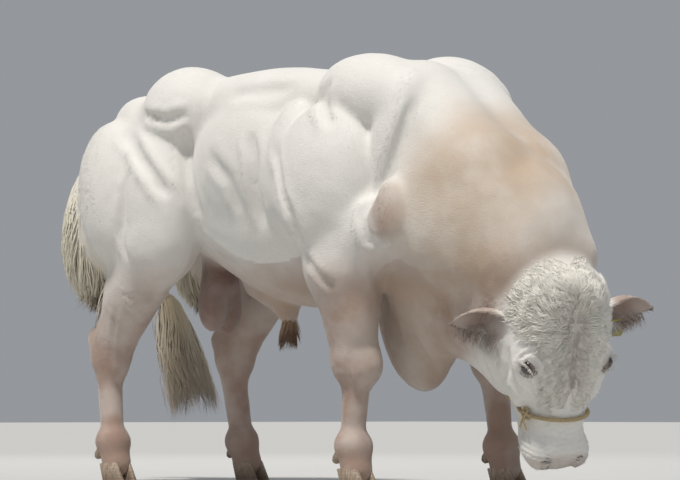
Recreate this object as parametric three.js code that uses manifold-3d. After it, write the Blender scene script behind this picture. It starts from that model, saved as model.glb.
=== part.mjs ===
// A grazing Belgian Blue bull, life size and standing still, in millimetres.
// +X points to the head, +Y to the animal's left and +Z up; the soles stand on z = 0.
// Each muscle is an ellipsoid or a tapered limb. Smooth minima blend them into one body field,
// and each node is the closed skin of its own muscles, cut clear of its neighbours.
import * as THREE from "three";
import { mergeVertices } from "three/addons/utils/BufferGeometryUtils.js";
import Module from "manifold-3d";

const kernel = await Module();
kernel.setup();
const { Manifold, Mesh } = kernel;

const degree = Math.PI / 180;
const nodeGap = 0.45; // clear air between two neighbours
const jointCover = 24; // how far a node follows the blended fillet at its joints
const bodyShift = { x: -111, y: 0 }; // brings the bounding box's centre over the origin

// Small helpers for points kept as [x, y, z].
const mix = (a, b, t) => a.map((v, i) => v + (b[i] - v) * t);
const off = (a, x, y, z) => [a[0] + x, a[1] + y, a[2] + z];
const vec = (a) => new THREE.Vector3(...a);

function seeded(seed) {
  let state = seed;
  return () => {
    state = (state * 1664525 + 1013904223) % 4294967296;
    return state / 4294967296;
  };
}

// Muscles: an ellipsoid has a centre, radii and a turn in degrees about x, then y, then z.
function ell(name, centre, radii, turn, blend) {
  return { name, kind: "ell", centre, radii, turn, blend };
}

// A limb runs from one ball to another; flat squeezes it sideways.
function limb(name, start, end, startRadius, endRadius, blend, flat) {
  return { name, kind: "limb", start, end, startRadius, endRadius, blend, flat };
}

function mirrored(muscle) {
  const flip = (p) => [p[0], -p[1], p[2]];
  if (muscle.kind === "limb") {
    return { ...muscle, start: flip(muscle.start), end: flip(muscle.end) };
  }
  const turn = [-muscle.turn[0], muscle.turn[1], -muscle.turn[2]];
  return { ...muscle, centre: flip(muscle.centre), turn };
}

const both = (list) => [...list, ...list.map(mirrored)];

const trunkMuscles = [
  ell("barrel", [150, 0, 1005], [560, 330, 396], [0, 0, 0], 0),
  ell("belly", [-190, 0, 1070], [440, 285, 300], [0, -6, 0], 90),
  ell("pelvis", [-560, 0, 1160], [340, 250, 230], [0, 10, 0], 90),
  ell("withers", [560, 0, 1080], [330, 260, 300], [0, 12, 0], 90),
  ell("breast", [690, 0, 790], [230, 215, 290], [0, -15, 0], 80),
  ell("tailHead", [-790, 0, 1200], [130, 70, 80], [0, 34, 0], 70),
  ...both([
    ell("loin", [10, -140, 1300], [500, 152, 130], [0, 1, -2], 26),
    ell("rumpLobe", [-345, -185, 1300], [215, 165, 172], [0, 6, 0], 22),
    ell("croupLobe", [-550, -165, 1225], [225, 152, 150], [0, 32, 0], 44),
    ell("ribLobe", [60, -215, 1110], [300, 150, 230], [0, 6, 0], 40),
  ]),
];

const dewlapMuscles = [ell("dewlap", [590, -10, 560], [150, 95, 245], [0, -14, 0], 60)];

function shoulderMuscles(forward, lift) {
  return [
    ell("tricepsLobe", [455 + forward, -285, 1010], [215, 135, 255], [0, 8, 0], 0),
    ell("latissimus", [285 + forward, -262, 1060], [115, 112, 225], [0, 6, 0], 18),
    ell("trapezius", [590 + forward, -180, 1275 + lift], [235, 150, 145], [0, 12, 6], 20),
    ell("supraspinatus", [715 + forward, -205, 1110], [92, 105, 235], [0, 16, 0], 28),
    ell("shoulderPoint", [775 + forward, -290, 880], [62, 70, 112], [0, 0, 0], 16),
    ell("upperArm", [620 + forward, -235, 830], [210, 120, 130], [0, -15, 0], 40),
  ];
}

function forelegMuscles({ elbow, knee, fetlock, foot }) {
  return [
    ell("elbowMass", off(elbow, 0, 0, -10), [160, 102, 165], [0, 0, 0], 0),
    limb("forearm", off(elbow, 20, 0, -40), mix(elbow, knee, 0.85), 128, 88, 40, 0.82),
    ell("extensor", off(mix(elbow, knee, 0.42), 50, -10, 0), [72, 66, 170], [0, 0, 0], 22),
    ell("knee", off(knee, 4, 0, 0), [100, 72, 88], [0, 0, 0], 28),
    limb("cannon", off(knee, 0, 0, -40), off(fetlock, 0, 0, 30), 47, 43, 26, 0.95),
    limb("tendon", off(knee, -30, 0, -50), off(fetlock, -26, 0, 20), 28, 28, 20, 0.8),
    ell("fetlock", fetlock, [62, 66, 56], [0, 0, 0], 24),
    limb("pastern", fetlock, mix(fetlock, foot, 0.54), 54, 52, 24, 1.1),
  ];
}

function thighMuscles({ hip, stifle, forward }) {
  return [
    ell("quadriceps", [-430 + forward, -262, 1010], [180, 135, 240], [0, -16, 0], 0),
    ell("bicepsFemoris", [-640 + forward, -275, 1030], [185, 142, 275], [0, -6, 0], 18),
    ell("semitendinosus", [-795 + forward, -225, 960], [155, 138, 255], [0, 10, 0], 20),
    limb("thighCore", hip, stifle, 200, 150, 50, 0.8),
  ];
}

function shankMuscles({ stifle, hock, fetlock, foot }) {
  return [
    limb("gaskin", off(stifle, -40, 0, -10), mix(stifle, hock, 0.8), 150, 98, 50, 0.7),
    ell("calf", off(mix(stifle, hock, 0.45), -50, 0, 20), [105, 78, 165], [0, 28, 0], 26),
    limb("achilles", off(mix(stifle, hock, 0.5), -60, 0, 0), off(hock, -68, 0, 45), 46, 30, 22, 0.8),
    ell("hockPoint", off(hock, -64, 0, 40), [42, 36, 50], [0, 0, 0], 20),
    ell("hock", off(hock, 4, 0, 6), [84, 60, 108], [0, 18, 0], 26),
    ell("hockFront", off(hock, 42, 0, -6), [74, 54, 130], [0, 10, 0], 30),
    limb("cannon", off(hock, 0, 0, -50), off(fetlock, 0, 0, 30), 52, 45, 26, 0.9),
    limb("tendon", off(hock, -30, 0, -40), off(fetlock, -28, 0, 20), 32, 28, 20, 0.8),
    ell("fetlock", fetlock, [62, 64, 56], [0, 0, 0], 24),
    limb("pastern", fetlock, mix(fetlock, foot, 0.54), 54, 52, 24, 1.1),
  ];
}

const neckMuscles = [
  limb("neckBase", [640, 0, 1010], [1010, -30, 800], 330, 262, 0, 0.86),
  limb("neckTop", [980, -25, 820], [1090, -35, 640], 262, 190, 60, 0.9),
  limb("throat", [790, -30, 600], [1060, -80, 520], 165, 150, 70, 0.7),
  limb("crestRight", [700, -95, 1235], [980, -100, 1010], 160, 138, 40, 1),
  limb("crestLeft", [700, 95, 1235], [985, 70, 1010], 160, 125, 40, 1),
  limb("crestTipRight", [980, -100, 1010], [1110, -110, 730], 138, 125, 40, 1),
  limb("crestTipLeft", [985, 70, 1010], [1150, 60, 740], 125, 125, 40, 1),
  ell("neckSideRight", [890, -160, 900], [240, 140, 260], [0, 30, 0], 70),
  ell("neckSideLeft", [880, 140, 900], [210, 130, 250], [0, 30, 0], 70),
];

// The head has its own frame: along the face to the muzzle, out of the face, and to its left.
const head = { poll: [1370, -88, 620], yaw: -20, pitch: 18, roll: 4 };
const headAxes = (() => {
  const yaw = head.yaw * degree;
  const pitch = head.pitch * degree;
  const roll = head.roll * degree;
  const out = new THREE.Vector3(
    Math.cos(yaw) * Math.cos(pitch),
    Math.sin(yaw) * Math.cos(pitch),
    -Math.sin(pitch),
  );
  const down = new THREE.Vector3(
    -Math.cos(yaw) * Math.sin(pitch),
    -Math.sin(yaw) * Math.sin(pitch),
    -Math.cos(pitch),
  );
  const side = new THREE.Vector3().crossVectors(out, down);
  const along = down.clone().multiplyScalar(Math.cos(roll)).addScaledVector(side, Math.sin(roll));
  const left = down.clone().multiplyScalar(-Math.sin(roll)).addScaledVector(side, Math.cos(roll));
  return { along, out, left };
})();

function onHead(along, out, left) {
  return vec(head.poll)
    .addScaledVector(headAxes.along, along)
    .addScaledVector(headAxes.out, out)
    .addScaledVector(headAxes.left, left)
    .toArray();
}

const headTurn = new THREE.Matrix4().makeBasis(headAxes.along, headAxes.left, headAxes.out);

const headShapes = [
  { name: "skull", at: [110, -150, 0], radii: [165, 150, 150], blend: 0 },
  { name: "poll", at: [36, -100, 0], radii: [75, 108, 122], blend: 40 },
  { name: "forehead", at: [190, -82, 0], radii: [190, 82, 152], blend: 40 },
  { name: "face", at: [240, -118, 0], to: [480, -104, 0], from: 118, end: 92, blend: 50 },
  { name: "muzzle", at: [530, -92, 0], radii: [70, 92, 108], blend: 40 },
  { name: "chin", at: [530, -170, 0], radii: [52, 50, 72], blend: 30 },
  { name: "jaw", at: [285, -305, 0], to: [505, -190, 0], from: 108, end: 62, blend: 50 },
  { name: "cheek", at: [228, -225, 108], radii: [168, 172, 82], blend: 36, pair: true },
  { name: "jawAngle", at: [262, -345, 92], radii: [118, 96, 68], blend: 30, pair: true },
  { name: "orbit", at: [240, -72, 120], radii: [60, 50, 46], blend: 26, pair: true },
  { name: "zygoma", at: [302, -122, 116], radii: [100, 54, 42], blend: 24, pair: true },
  { name: "nostrilWing", at: [540, -60, 66], radii: [50, 48, 36], blend: 22, pair: true },
];

function headMuscle(shape, side) {
  const place = (p) => onHead(p[0], p[1], p[2] * side);
  if (shape.to) {
    return limb(shape.name, place(shape.at), place(shape.to), shape.from, shape.end, shape.blend, 1);
  }
  const [along, out, left] = shape.radii;
  return { ...ell(shape.name, place(shape.at), [along, left, out], null, shape.blend), frame: headTurn };
}

const headMuscles = headShapes.flatMap((shape) =>
  shape.pair ? [headMuscle(shape, 1), headMuscle(shape, -1)] : [headMuscle(shape, 1)],
);

// Joints of the four legs.
const legs = {
  fore_right: { elbow: [487, -250, 760], knee: [510, -205, 410], fetlock: [490, -200, 145], foot: [520, -205, 0] },
  fore_left: { elbow: [560, 250, 760], knee: [730, 215, 420], fetlock: [765, 205, 145], foot: [800, 205, 0] },
  hind_right: {
    hip: [-430, -190, 1120],
    stifle: [-420, -260, 860],
    hock: [-775, -225, 480],
    fetlock: [-735, -235, 150],
    foot: [-690, -240, 0],
    forward: 0,
  },
  hind_left: {
    hip: [-430, -190, 1120],
    stifle: [-340, -260, 860],
    hock: [-615, -225, 480],
    fetlock: [-570, -235, 150],
    foot: [-520, -240, 0],
    forward: 60,
  },
};

const shoulders = { right: { forward: 0, lift: 0 }, left: { forward: -20, lift: 28 } };

// Groups blend into the body in this order, each with the width of its own fillet.
const groups = {
  torso: { join: 0, muscles: [...trunkMuscles, ...dewlapMuscles] },
  neck: { join: 80, muscles: neckMuscles },
  shoulder_right: { join: 24, muscles: shoulderMuscles(shoulders.right.forward, shoulders.right.lift) },
  shoulder_left: {
    join: 24,
    muscles: shoulderMuscles(shoulders.left.forward, shoulders.left.lift).map(mirrored),
  },
  foreleg_right: { join: 40, muscles: forelegMuscles(legs.fore_right) },
  foreleg_left: { join: 40, muscles: forelegMuscles(legs.fore_left) },
  thigh_right: { join: 26, muscles: thighMuscles(legs.hind_right) },
  shank_right: { join: 50, muscles: shankMuscles(legs.hind_right) },
  thigh_left: { join: 26, muscles: thighMuscles(legs.hind_left).map(mirrored) },
  shank_left: { join: 50, muscles: shankMuscles(legs.hind_left).map(mirrored) },
  head: { join: 50, muscles: headMuscles },
};

// Each muscle's signed distance, near enough for blending and for tracing a surface.
function prepare(muscle) {
  if (muscle.kind === "limb") {
    const [ax, ay, az] = muscle.start;
    const dx = muscle.end[0] - ax;
    const dy = (muscle.end[1] - ay) / muscle.flat;
    const dz = muscle.end[2] - az;
    const lengthSquared = dx * dx + dy * dy + dz * dz;
    const taper = muscle.endRadius - muscle.startRadius;
    return (x, y, z) => {
      const px = x - ax;
      const py = (y - ay) / muscle.flat;
      const pz = z - az;
      const t = Math.min(1, Math.max(0, (px * dx + py * dy + pz * dz) / lengthSquared));
      return Math.hypot(px - t * dx, py - t * dy, pz - t * dz) - (muscle.startRadius + taper * t);
    };
  }
  const turn = new THREE.Matrix4();
  if (muscle.frame) {
    turn.copy(muscle.frame);
  } else {
    const [rx, ry, rz] = muscle.turn.map((angle) => angle * degree);
    turn.makeRotationFromEuler(new THREE.Euler(rx, ry, rz, "ZYX"));
  }
  const m = turn.elements;
  const [cx, cy, cz] = muscle.centre;
  const [a, b, c] = muscle.radii;
  return (x, y, z) => {
    const px = x - cx;
    const py = y - cy;
    const pz = z - cz;
    const u = (px * m[0] + py * m[1] + pz * m[2]) / a;
    const v = (px * m[4] + py * m[5] + pz * m[6]) / b;
    const w = (px * m[8] + py * m[9] + pz * m[10]) / c;
    const scaled = Math.hypot(u, v, w);
    return (scaled * (scaled - 1)) / (Math.hypot(u / a, v / b, w / c) + 1e-9);
  };
}

function smoothMin(a, b, width) {
  if (width <= 0) {
    return Math.min(a, b);
  }
  const h = Math.max(width - Math.abs(a - b), 0) / width;
  return Math.min(a, b) - (h * h * width) / 4;
}

function fieldOf(muscles) {
  const parts = muscles.map((muscle) => ({ distance: prepare(muscle), blend: muscle.blend }));
  return (x, y, z) => {
    let value = 1000;
    for (const part of parts) {
      value = smoothMin(value, part.distance(x, y, z), part.blend);
    }
    return value;
  };
}

const groupFields = Object.fromEntries(
  Object.entries(groups).map(([name, group]) => [name, fieldOf(group.muscles)]),
);

function bodyField(x, y, z) {
  let value = 1000;
  for (const name in groups) {
    value = smoothMin(value, groupFields[name](x, y, z), groups[name].join);
  }
  return value;
}

// A node's field follows the whole blended body, but stays within reach of its own muscles.
function nodeField(own, cover = jointCover) {
  return (x, y, z) => {
    const mine = own(x, y, z) - cover;
    return mine > 0 ? mine : Math.max(mine, bodyField(x, y, z));
  };
}

// Distance along a ray from inside the body to the last time it leaves the field.
function reachOf(field, origin, direction, farthest) {
  const coarse = farthest / 60;
  const at = (r) => field(origin.x + direction.x * r, origin.y + direction.y * r, origin.z + direction.z * r);
  let outer = farthest;
  while (outer > coarse && at(outer - coarse) > 0) {
    outer -= coarse;
  }
  let inner = Math.max(outer - coarse, 0.5);
  for (let step = 0; step < 12; step += 1) {
    const middle = (inner + outer) / 2;
    if (at(middle) > 0) {
      outer = middle;
    } else {
      inner = middle;
    }
  }
  return Math.max(inner, 1);
}

// A closed skin traced by rays from a path inside the body. Rays stand square to the path,
// and over its two ends they tilt round to a pole.
function traced(field, path, { rings, sides, cap, farthest, up = [0, 0, 1] }) {
  const curve = new THREE.CatmullRomCurve3(path.map(vec), false, "centripetal");
  const stations = [];
  for (let i = 1; i <= cap; i += 1) {
    stations.push({ along: 0, tilt: -90 + (90 * i) / (cap + 1) });
  }
  for (let i = 0; i <= rings; i += 1) {
    stations.push({ along: i / rings, tilt: 0 });
  }
  for (let i = 1; i <= cap; i += 1) {
    stations.push({ along: 1, tilt: (90 * i) / (cap + 1) });
  }
  const points = [];
  const rayPoint = (origin, direction) =>
    origin.clone().addScaledVector(direction, reachOf(field, origin, direction, farthest));
  stations.forEach(({ along, tilt }) => {
    const origin = curve.getPointAt(along);
    const tangent = curve.getTangentAt(along);
    const side = new THREE.Vector3().crossVectors(tangent, vec(up)).normalize();
    const top = new THREE.Vector3().crossVectors(side, tangent);
    for (let j = 0; j < sides; j += 1) {
      const angle = (j / sides) * Math.PI * 2;
      const direction = top
        .clone()
        .multiplyScalar(Math.cos(angle))
        .addScaledVector(side, Math.sin(angle))
        .multiplyScalar(Math.cos(tilt * degree))
        .addScaledVector(tangent, Math.sin(tilt * degree));
      points.push(rayPoint(origin, direction));
    }
  });
  const first = rayPoint(curve.getPointAt(0), curve.getTangentAt(0).negate());
  const last = rayPoint(curve.getPointAt(1), curve.getTangentAt(1));
  return closedTube(points, stations.length, sides, first, last);
}

// Rings of points become a closed surface with a pole at each end.
function closedTube(points, ringCount, sides, first, last) {
  const positions = [...points, first, last].flatMap((p) => p.toArray());
  const firstPole = points.length;
  const lastPole = firstPole + 1;
  const index = [];
  for (let j = 0; j < sides; j += 1) {
    const next = (j + 1) % sides;
    index.push(firstPole, next, j);
    for (let i = 0; i + 1 < ringCount; i += 1) {
      const a = i * sides + j;
      const b = i * sides + next;
      index.push(a, b, b + sides, a, b + sides, a + sides);
    }
    const base = (ringCount - 1) * sides;
    index.push(lastPole, base + j, base + next);
  }
  const geometry = new THREE.BufferGeometry();
  geometry.setAttribute("position", new THREE.Float32BufferAttribute(positions, 3));
  geometry.setIndex(index);
  return geometry;
}

function solid(geometry) {
  const bare = new THREE.BufferGeometry();
  bare.setAttribute("position", geometry.getAttribute("position"));
  if (geometry.index) {
    bare.setIndex(geometry.index);
  }
  const merged = mergeVertices(bare, 1e-3);
  const vertProperties = new Float32Array(merged.attributes.position.array);
  const triVerts = new Uint32Array(merged.index.array);
  const made = new Manifold(new Mesh({ numProp: 3, vertProperties, triVerts }));
  if (made.volume() >= 0) {
    return made;
  }
  for (let i = 0; i < triVerts.length; i += 3) {
    [triVerts[i + 1], triVerts[i + 2]] = [triVerts[i + 2], triVerts[i + 1]];
  }
  return new Manifold(new Mesh({ numProp: 3, vertProperties, triVerts }));
}

function geometryOf(body) {
  const mesh = body.getMesh();
  const count = mesh.numVert;
  const positions = new Float32Array(count * 3);
  for (let i = 0; i < count; i += 1) {
    positions.set(mesh.vertProperties.subarray(i * mesh.numProp, i * mesh.numProp + 3), i * 3);
  }
  const geometry = new THREE.BufferGeometry();
  geometry.setAttribute("position", new THREE.BufferAttribute(positions, 3));
  geometry.setIndex(new THREE.BufferAttribute(new Uint32Array(mesh.triVerts), 1));
  return geometry;
}

// The body pushed out along its own normals, used to cut a neighbour clear of it.
function swollen(body, distance) {
  const geometry = geometryOf(body);
  geometry.computeVertexNormals();
  const position = geometry.attributes.position;
  const normal = geometry.attributes.normal;
  for (let i = 0; i < position.count; i += 1) {
    position.setXYZ(
      i,
      position.getX(i) + normal.getX(i) * distance,
      position.getY(i) + normal.getY(i) * distance,
      position.getZ(i) + normal.getZ(i) * distance,
    );
  }
  return solid(geometry);
}

function largest(body) {
  const pieces = body.decompose();
  return pieces.reduce((best, piece) => (piece.volume() > best.volume() ? piece : best));
}

function cutClear(body, neighbours) {
  let left = body;
  for (const neighbour of neighbours) {
    left = left.subtract(swollen(neighbour, nodeGap)).subtract(swollen(neighbour, nodeGap / 4));
  }
  return largest(left);
}

function joined(bodies) {
  return largest(bodies.reduce((sum, body) => sum.add(body)));
}

// A tapered lock of hair: flat rings along a bent line, closed in a tip.
function lock({ root, heading, normal, length, width, thick, curl = 0, sag = 0, steps = 4 }) {
  const forward = vec(heading).normalize();
  const out = vec(normal).addScaledVector(forward, -vec(normal).dot(forward)).normalize();
  const side = new THREE.Vector3().crossVectors(forward, out);
  const down = new THREE.Vector3(0, 0, -1);
  const place = (t) =>
    vec(root)
      .addScaledVector(forward, length * t)
      .addScaledVector(side, length * curl * t * t)
      .addScaledVector(out, length * 0.12 * Math.sin(Math.PI * t))
      .addScaledVector(down, length * sag * t * t);
  const sides = 4;
  const points = [];
  for (let i = 0; i < steps; i += 1) {
    const t = i / steps;
    const swell = Math.sqrt(1 - t) * (0.8 + 0.4 * Math.sin(Math.PI * t));
    for (let j = 0; j < sides; j += 1) {
      const angle = (j / sides) * Math.PI * 2;
      points.push(
        place(t)
          .addScaledVector(side, (Math.cos(angle) * width * swell) / 2)
          .addScaledVector(out, (Math.sin(angle) * thick * swell) / 2),
      );
    }
  }
  const foot = place(0).addScaledVector(forward, -thick * 0.5);
  return solid(closedTube(points, steps, sides, foot, place(1)));
}

// The outward direction of the body field at a point.
function normalAt(field, [x, y, z]) {
  const e = 4;
  return new THREE.Vector3(
    field(x + e, y, z) - field(x - e, y, z),
    field(x, y + e, z) - field(x, y - e, z),
    field(x, y, z + e) - field(x, y, z - e),
  ).normalize();
}

// Slides a point onto the surface of a field.
function ontoSurface(field, start) {
  let point = start;
  for (let step = 0; step < 8; step += 1) {
    const value = field(...point);
    point = vec(point).addScaledVector(normalAt(field, point), -value).toArray();
  }
  return point;
}

const solids = {};

// The great muscled parts.
const fieldFor = (name) => nodeField(groupFields[name]);
const shoulderPath = (side, forward) => [
  [400 + forward, 225 * side, 1030],
  [690 + forward, 205 * side, 1030],
];
const coarseSkin = { rings: 8, sides: 20, cap: 5, farthest: 620 };
solids.shoulder_right = solid(
  traced(fieldFor("shoulder_right"), shoulderPath(-1, shoulders.right.forward), coarseSkin),
);
solids.shoulder_left = solid(
  traced(fieldFor("shoulder_left"), shoulderPath(1, shoulders.left.forward), coarseSkin),
);
const thighPath = (side, forward) => [
  [-480 + forward, 215 * side, 1020],
  [-740 + forward, 215 * side, 990],
];
solids.thigh_right = solid(traced(fieldFor("thigh_right"), thighPath(-1, legs.hind_right.forward), coarseSkin));
solids.thigh_left = solid(traced(fieldFor("thigh_left"), thighPath(1, legs.hind_left.forward), coarseSkin));

const trunkField = nodeField(fieldOf(trunkMuscles), 2);
solids.torso = solid(
  traced(trunkField, [[-520, 0, 1120], [-200, 0, 1060], [200, 0, 1020], [620, 0, 1000]], {
    rings: 20,
    sides: 26,
    cap: 4,
    farthest: 760,
  }),
);
const wholeNeck = solid(
  traced(fieldFor("neck"), [[760, 0, 1000], [930, -20, 860], [1060, -40, 700]], {
    rings: 10,
    sides: 20,
    cap: 3,
    farthest: 560,
    up: [1, 0, 1],
  }),
);
const wholeHead = solid(
  traced(fieldFor("head"), [onHead(70, -130, 0), onHead(300, -150, 0), onHead(530, -110, 0)], {
    rings: 16,
    sides: 24,
    cap: 3,
    farthest: 420,
    up: headAxes.out.toArray(),
  }),
);

// The lower legs follow their own joints.
const legSkin = { rings: 17, sides: 10, cap: 2, farthest: 260, up: [1, 0, 0] };
function forelegOf(side) {
  const { elbow, knee, fetlock, foot } = legs["fore_" + side];
  const path = [off(elbow, 5, 0, -30), mix(elbow, knee, 0.6), knee, mix(knee, fetlock, 0.5), fetlock, mix(fetlock, foot, 0.5)];
  return solid(traced(fieldFor("foreleg_" + side), path, legSkin));
}
function shankOf(side) {
  const flip = side === "left" ? -1 : 1;
  const { stifle, hock, fetlock, foot } = legs["hind_" + side];
  const path = [
    off(mix(stifle, hock, 0.05), -30, 0, 0),
    mix(stifle, hock, 0.45),
    off(mix(stifle, hock, 0.9), 10, 0, 20),
    off(hock, 5, 0, -60),
    mix(hock, fetlock, 0.6),
    fetlock,
    mix(fetlock, foot, 0.5),
  ].map(([x, y, z]) => [x, y * flip, z]);
  return solid(traced(fieldFor("shank_" + side), path, legSkin));
}

// A cloven hoof: two claws side by side, each flat on the ground and sloping to the coronet.
const claw = { length: 118, width: 56, height: 74, spread: 31, toeIn: 5, slope: 34, forward: 8 };
function clawOf(foot, side, outer) {
  const rings = 3;
  const sides = 12;
  const points = [];
  for (let i = 0; i <= rings; i += 1) {
    const rise = i / rings;
    const shrink = 1 - 0.24 * rise;
    for (let j = 0; j < sides; j += 1) {
      const angle = (j / sides) * Math.PI * 2;
      const front = Math.cos(angle) > 0 ? 1 : 0.72;
      const x = Math.cos(angle) * (claw.length / 2) * front * shrink - claw.slope * rise + claw.forward;
      const flatInside = Math.sin(angle) * outer < 0 ? 0.72 : 1;
      const y = Math.sin(angle) * (claw.width / 2) * flatInside * shrink * (1 - 0.16 * Math.cos(angle));
      points.push([foot[0] + x, foot[1] + claw.spread * outer + y - (claw.toeIn * outer * x) / 60, claw.height * rise]);
    }
  }
  const middle = (z, x) => vec([foot[0] + x, foot[1] + claw.spread * outer, z]);
  return solid(closedTube(points.map(vec), rings + 1, sides, middle(0, claw.forward), middle(claw.height, -24)));
}
const feet = {
  fore_right: legs.fore_right.foot,
  fore_left: legs.fore_left.foot,
  hind_right: legs.hind_right.foot,
  hind_left: [legs.hind_left.foot[0], -legs.hind_left.foot[1], 0],
};
const clawNames = [];
for (const [name, foot] of Object.entries(feet)) {
  for (const [label, outer] of [["outer", name.endsWith("left") ? 1 : -1], ["inner", name.endsWith("left") ? -1 : 1]]) {
    const clawName = "claw_" + name + "_" + label;
    clawNames.push(clawName);
    solids[clawName] = clawOf(foot, name, outer);
  }
}

// Dewclaws are two small horny buds behind each fetlock.
const dewclaw = { radius: 20, back: 58, spread: 27, height: 104 };
function dewclawsOf(foot, fetlock) {
  return [-1, 1].map((side) => {
    const x = mix(fetlock, foot, 0.35)[0] - dewclaw.back;
    return lock({
      root: [x + 22, foot[1] + dewclaw.spread * side, dewclaw.height + 14],
      heading: [-0.7, 0.1 * side, -0.7],
      normal: [-0.7, 0, 0.7],
      length: 46,
      width: dewclaw.radius * 2,
      thick: dewclaw.radius * 1.7,
      steps: 3,
    });
  });
}

// The tail stands a little off the buttocks and swings to the left, with a switch of long hair.
const tailPath = [
  [-800, 0, 1262],
  [-900, -6, 1298],
  [-1010, -18, 1290],
  [-1100, -28, 1235],
  [-1150, -30, 1140],
  [-1160, -20, 1020],
  [-1130, 20, 900],
  [-1075, 110, 790],
  [-1020, 200, 715],
  [-1000, 262, 668],
];
function tubeOf(path, radius, rings, sides) {
  const curve = new THREE.CatmullRomCurve3(path.map(vec), false, "centripetal");
  const points = [];
  for (let i = 0; i <= rings; i += 1) {
    const t = i / rings;
    const centre = curve.getPointAt(t);
    const tangent = curve.getTangentAt(t);
    const side = new THREE.Vector3().crossVectors(tangent, vec([0.2, 1, 0])).normalize();
    const top = new THREE.Vector3().crossVectors(side, tangent);
    for (let j = 0; j < sides; j += 1) {
      const angle = (j / sides) * Math.PI * 2;
      points.push(
        centre
          .clone()
          .addScaledVector(side, Math.cos(angle) * radius(t))
          .addScaledVector(top, Math.sin(angle) * radius(t)),
      );
    }
  }
  const first = curve.getPointAt(0);
  const last = curve.getPointAt(1).addScaledVector(curve.getTangentAt(1), radius(1) * 0.6);
  return solid(closedTube(points, rings + 1, sides, first, last));
}
const tailRadius = (t) => 52 - 34 * Math.min(1, t * 1.7) + 4 * t;
const wholeTail = tubeOf(tailPath, tailRadius, 16, 10);

const switchRandom = seeded(11);
const switchLocks = [];
const switchShape = { count: 8, length: 400, width: 70, thick: 36 };
for (let i = 0; i < switchShape.count; i += 1) {
  const fan = i / (switchShape.count - 1) - 0.5;
  switchLocks.push(
    lock({
      root: [-1000 + fan * 16, 272 + fan * 22, 668 - 10 * switchRandom()],
      heading: [0.12 + fan * 0.42, 0.16 + fan * 0.26, -1],
      normal: [-1, 0.2, 0],
      length: switchShape.length * (0.72 + 0.28 * switchRandom()),
      width: switchShape.width,
      thick: switchShape.thick,
      curl: (switchRandom() - 0.5) * 0.16,
      steps: 5,
    }),
  );
}
const switchKnot = tubeOf([[-1003, 240, 690], [-1000, 275, 660], [-998, 290, 610]], (t) => 34 - 6 * t, 3, 8);
const wholeSwitch = joined([switchKnot, ...switchLocks]);

// Two testes in one purse, and the sheath with its tuft under the belly.
const scrotumField = fieldOf([
  limb("purse", [-425, 0, 860], [-420, 0, 720], 62, 70, 0, 1),
  ell("testisRight", [-418, -36, 640], [62, 50, 100], [0, 0, 0], 30),
  ell("testisLeft", [-424, 38, 628], [62, 50, 98], [0, 0, 0], 30),
]);
const scrotum = solid(
  traced(scrotumField, [[-424, 0, 820], [-420, 0, 640]], { rings: 8, sides: 14, cap: 3, farthest: 190, up: [1, 0, 0] }),
);
const sheathField = fieldOf([
  limb("sheathRoot", [-200, 0, 720], [-60, 0, 622], 74, 48, 0, 0.8),
  limb("sheathTip", [-60, 0, 622], [-48, 0, 585], 44, 34, 30, 0.9),
]);
const sheath = solid(
  traced(sheathField, [[-180, 0, 705], [-70, 0, 630], [-52, 0, 600]], {
    rings: 8,
    sides: 12,
    cap: 3,
    farthest: 130,
    up: [0, 1, 0],
  }),
);
const tuftRandom = seeded(5);
const tuftLocks = [];
const tuftCount = 7;
for (let i = 0; i < tuftCount; i += 1) {
  const turn = (i / tuftCount) * Math.PI * 2;
  tuftLocks.push(
    lock({
      root: [-47 + 10 * Math.cos(turn), 10 * Math.sin(turn), 566],
      heading: [0.35 * Math.cos(turn), 0.35 * Math.sin(turn), -1],
      normal: [Math.cos(turn), Math.sin(turn), 0.2],
      length: 62 + 24 * tuftRandom(),
      width: 30,
      thick: 15,
      curl: 0.1,
      steps: 3,
    }),
  );
}
const sheathTuft = joined([
  tubeOf([[-48, 0, 576], [-47, 0, 560], [-47, 0, 540]], (t) => 24 - 8 * t, 3, 10),
  ...tuftLocks,
]);

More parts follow.
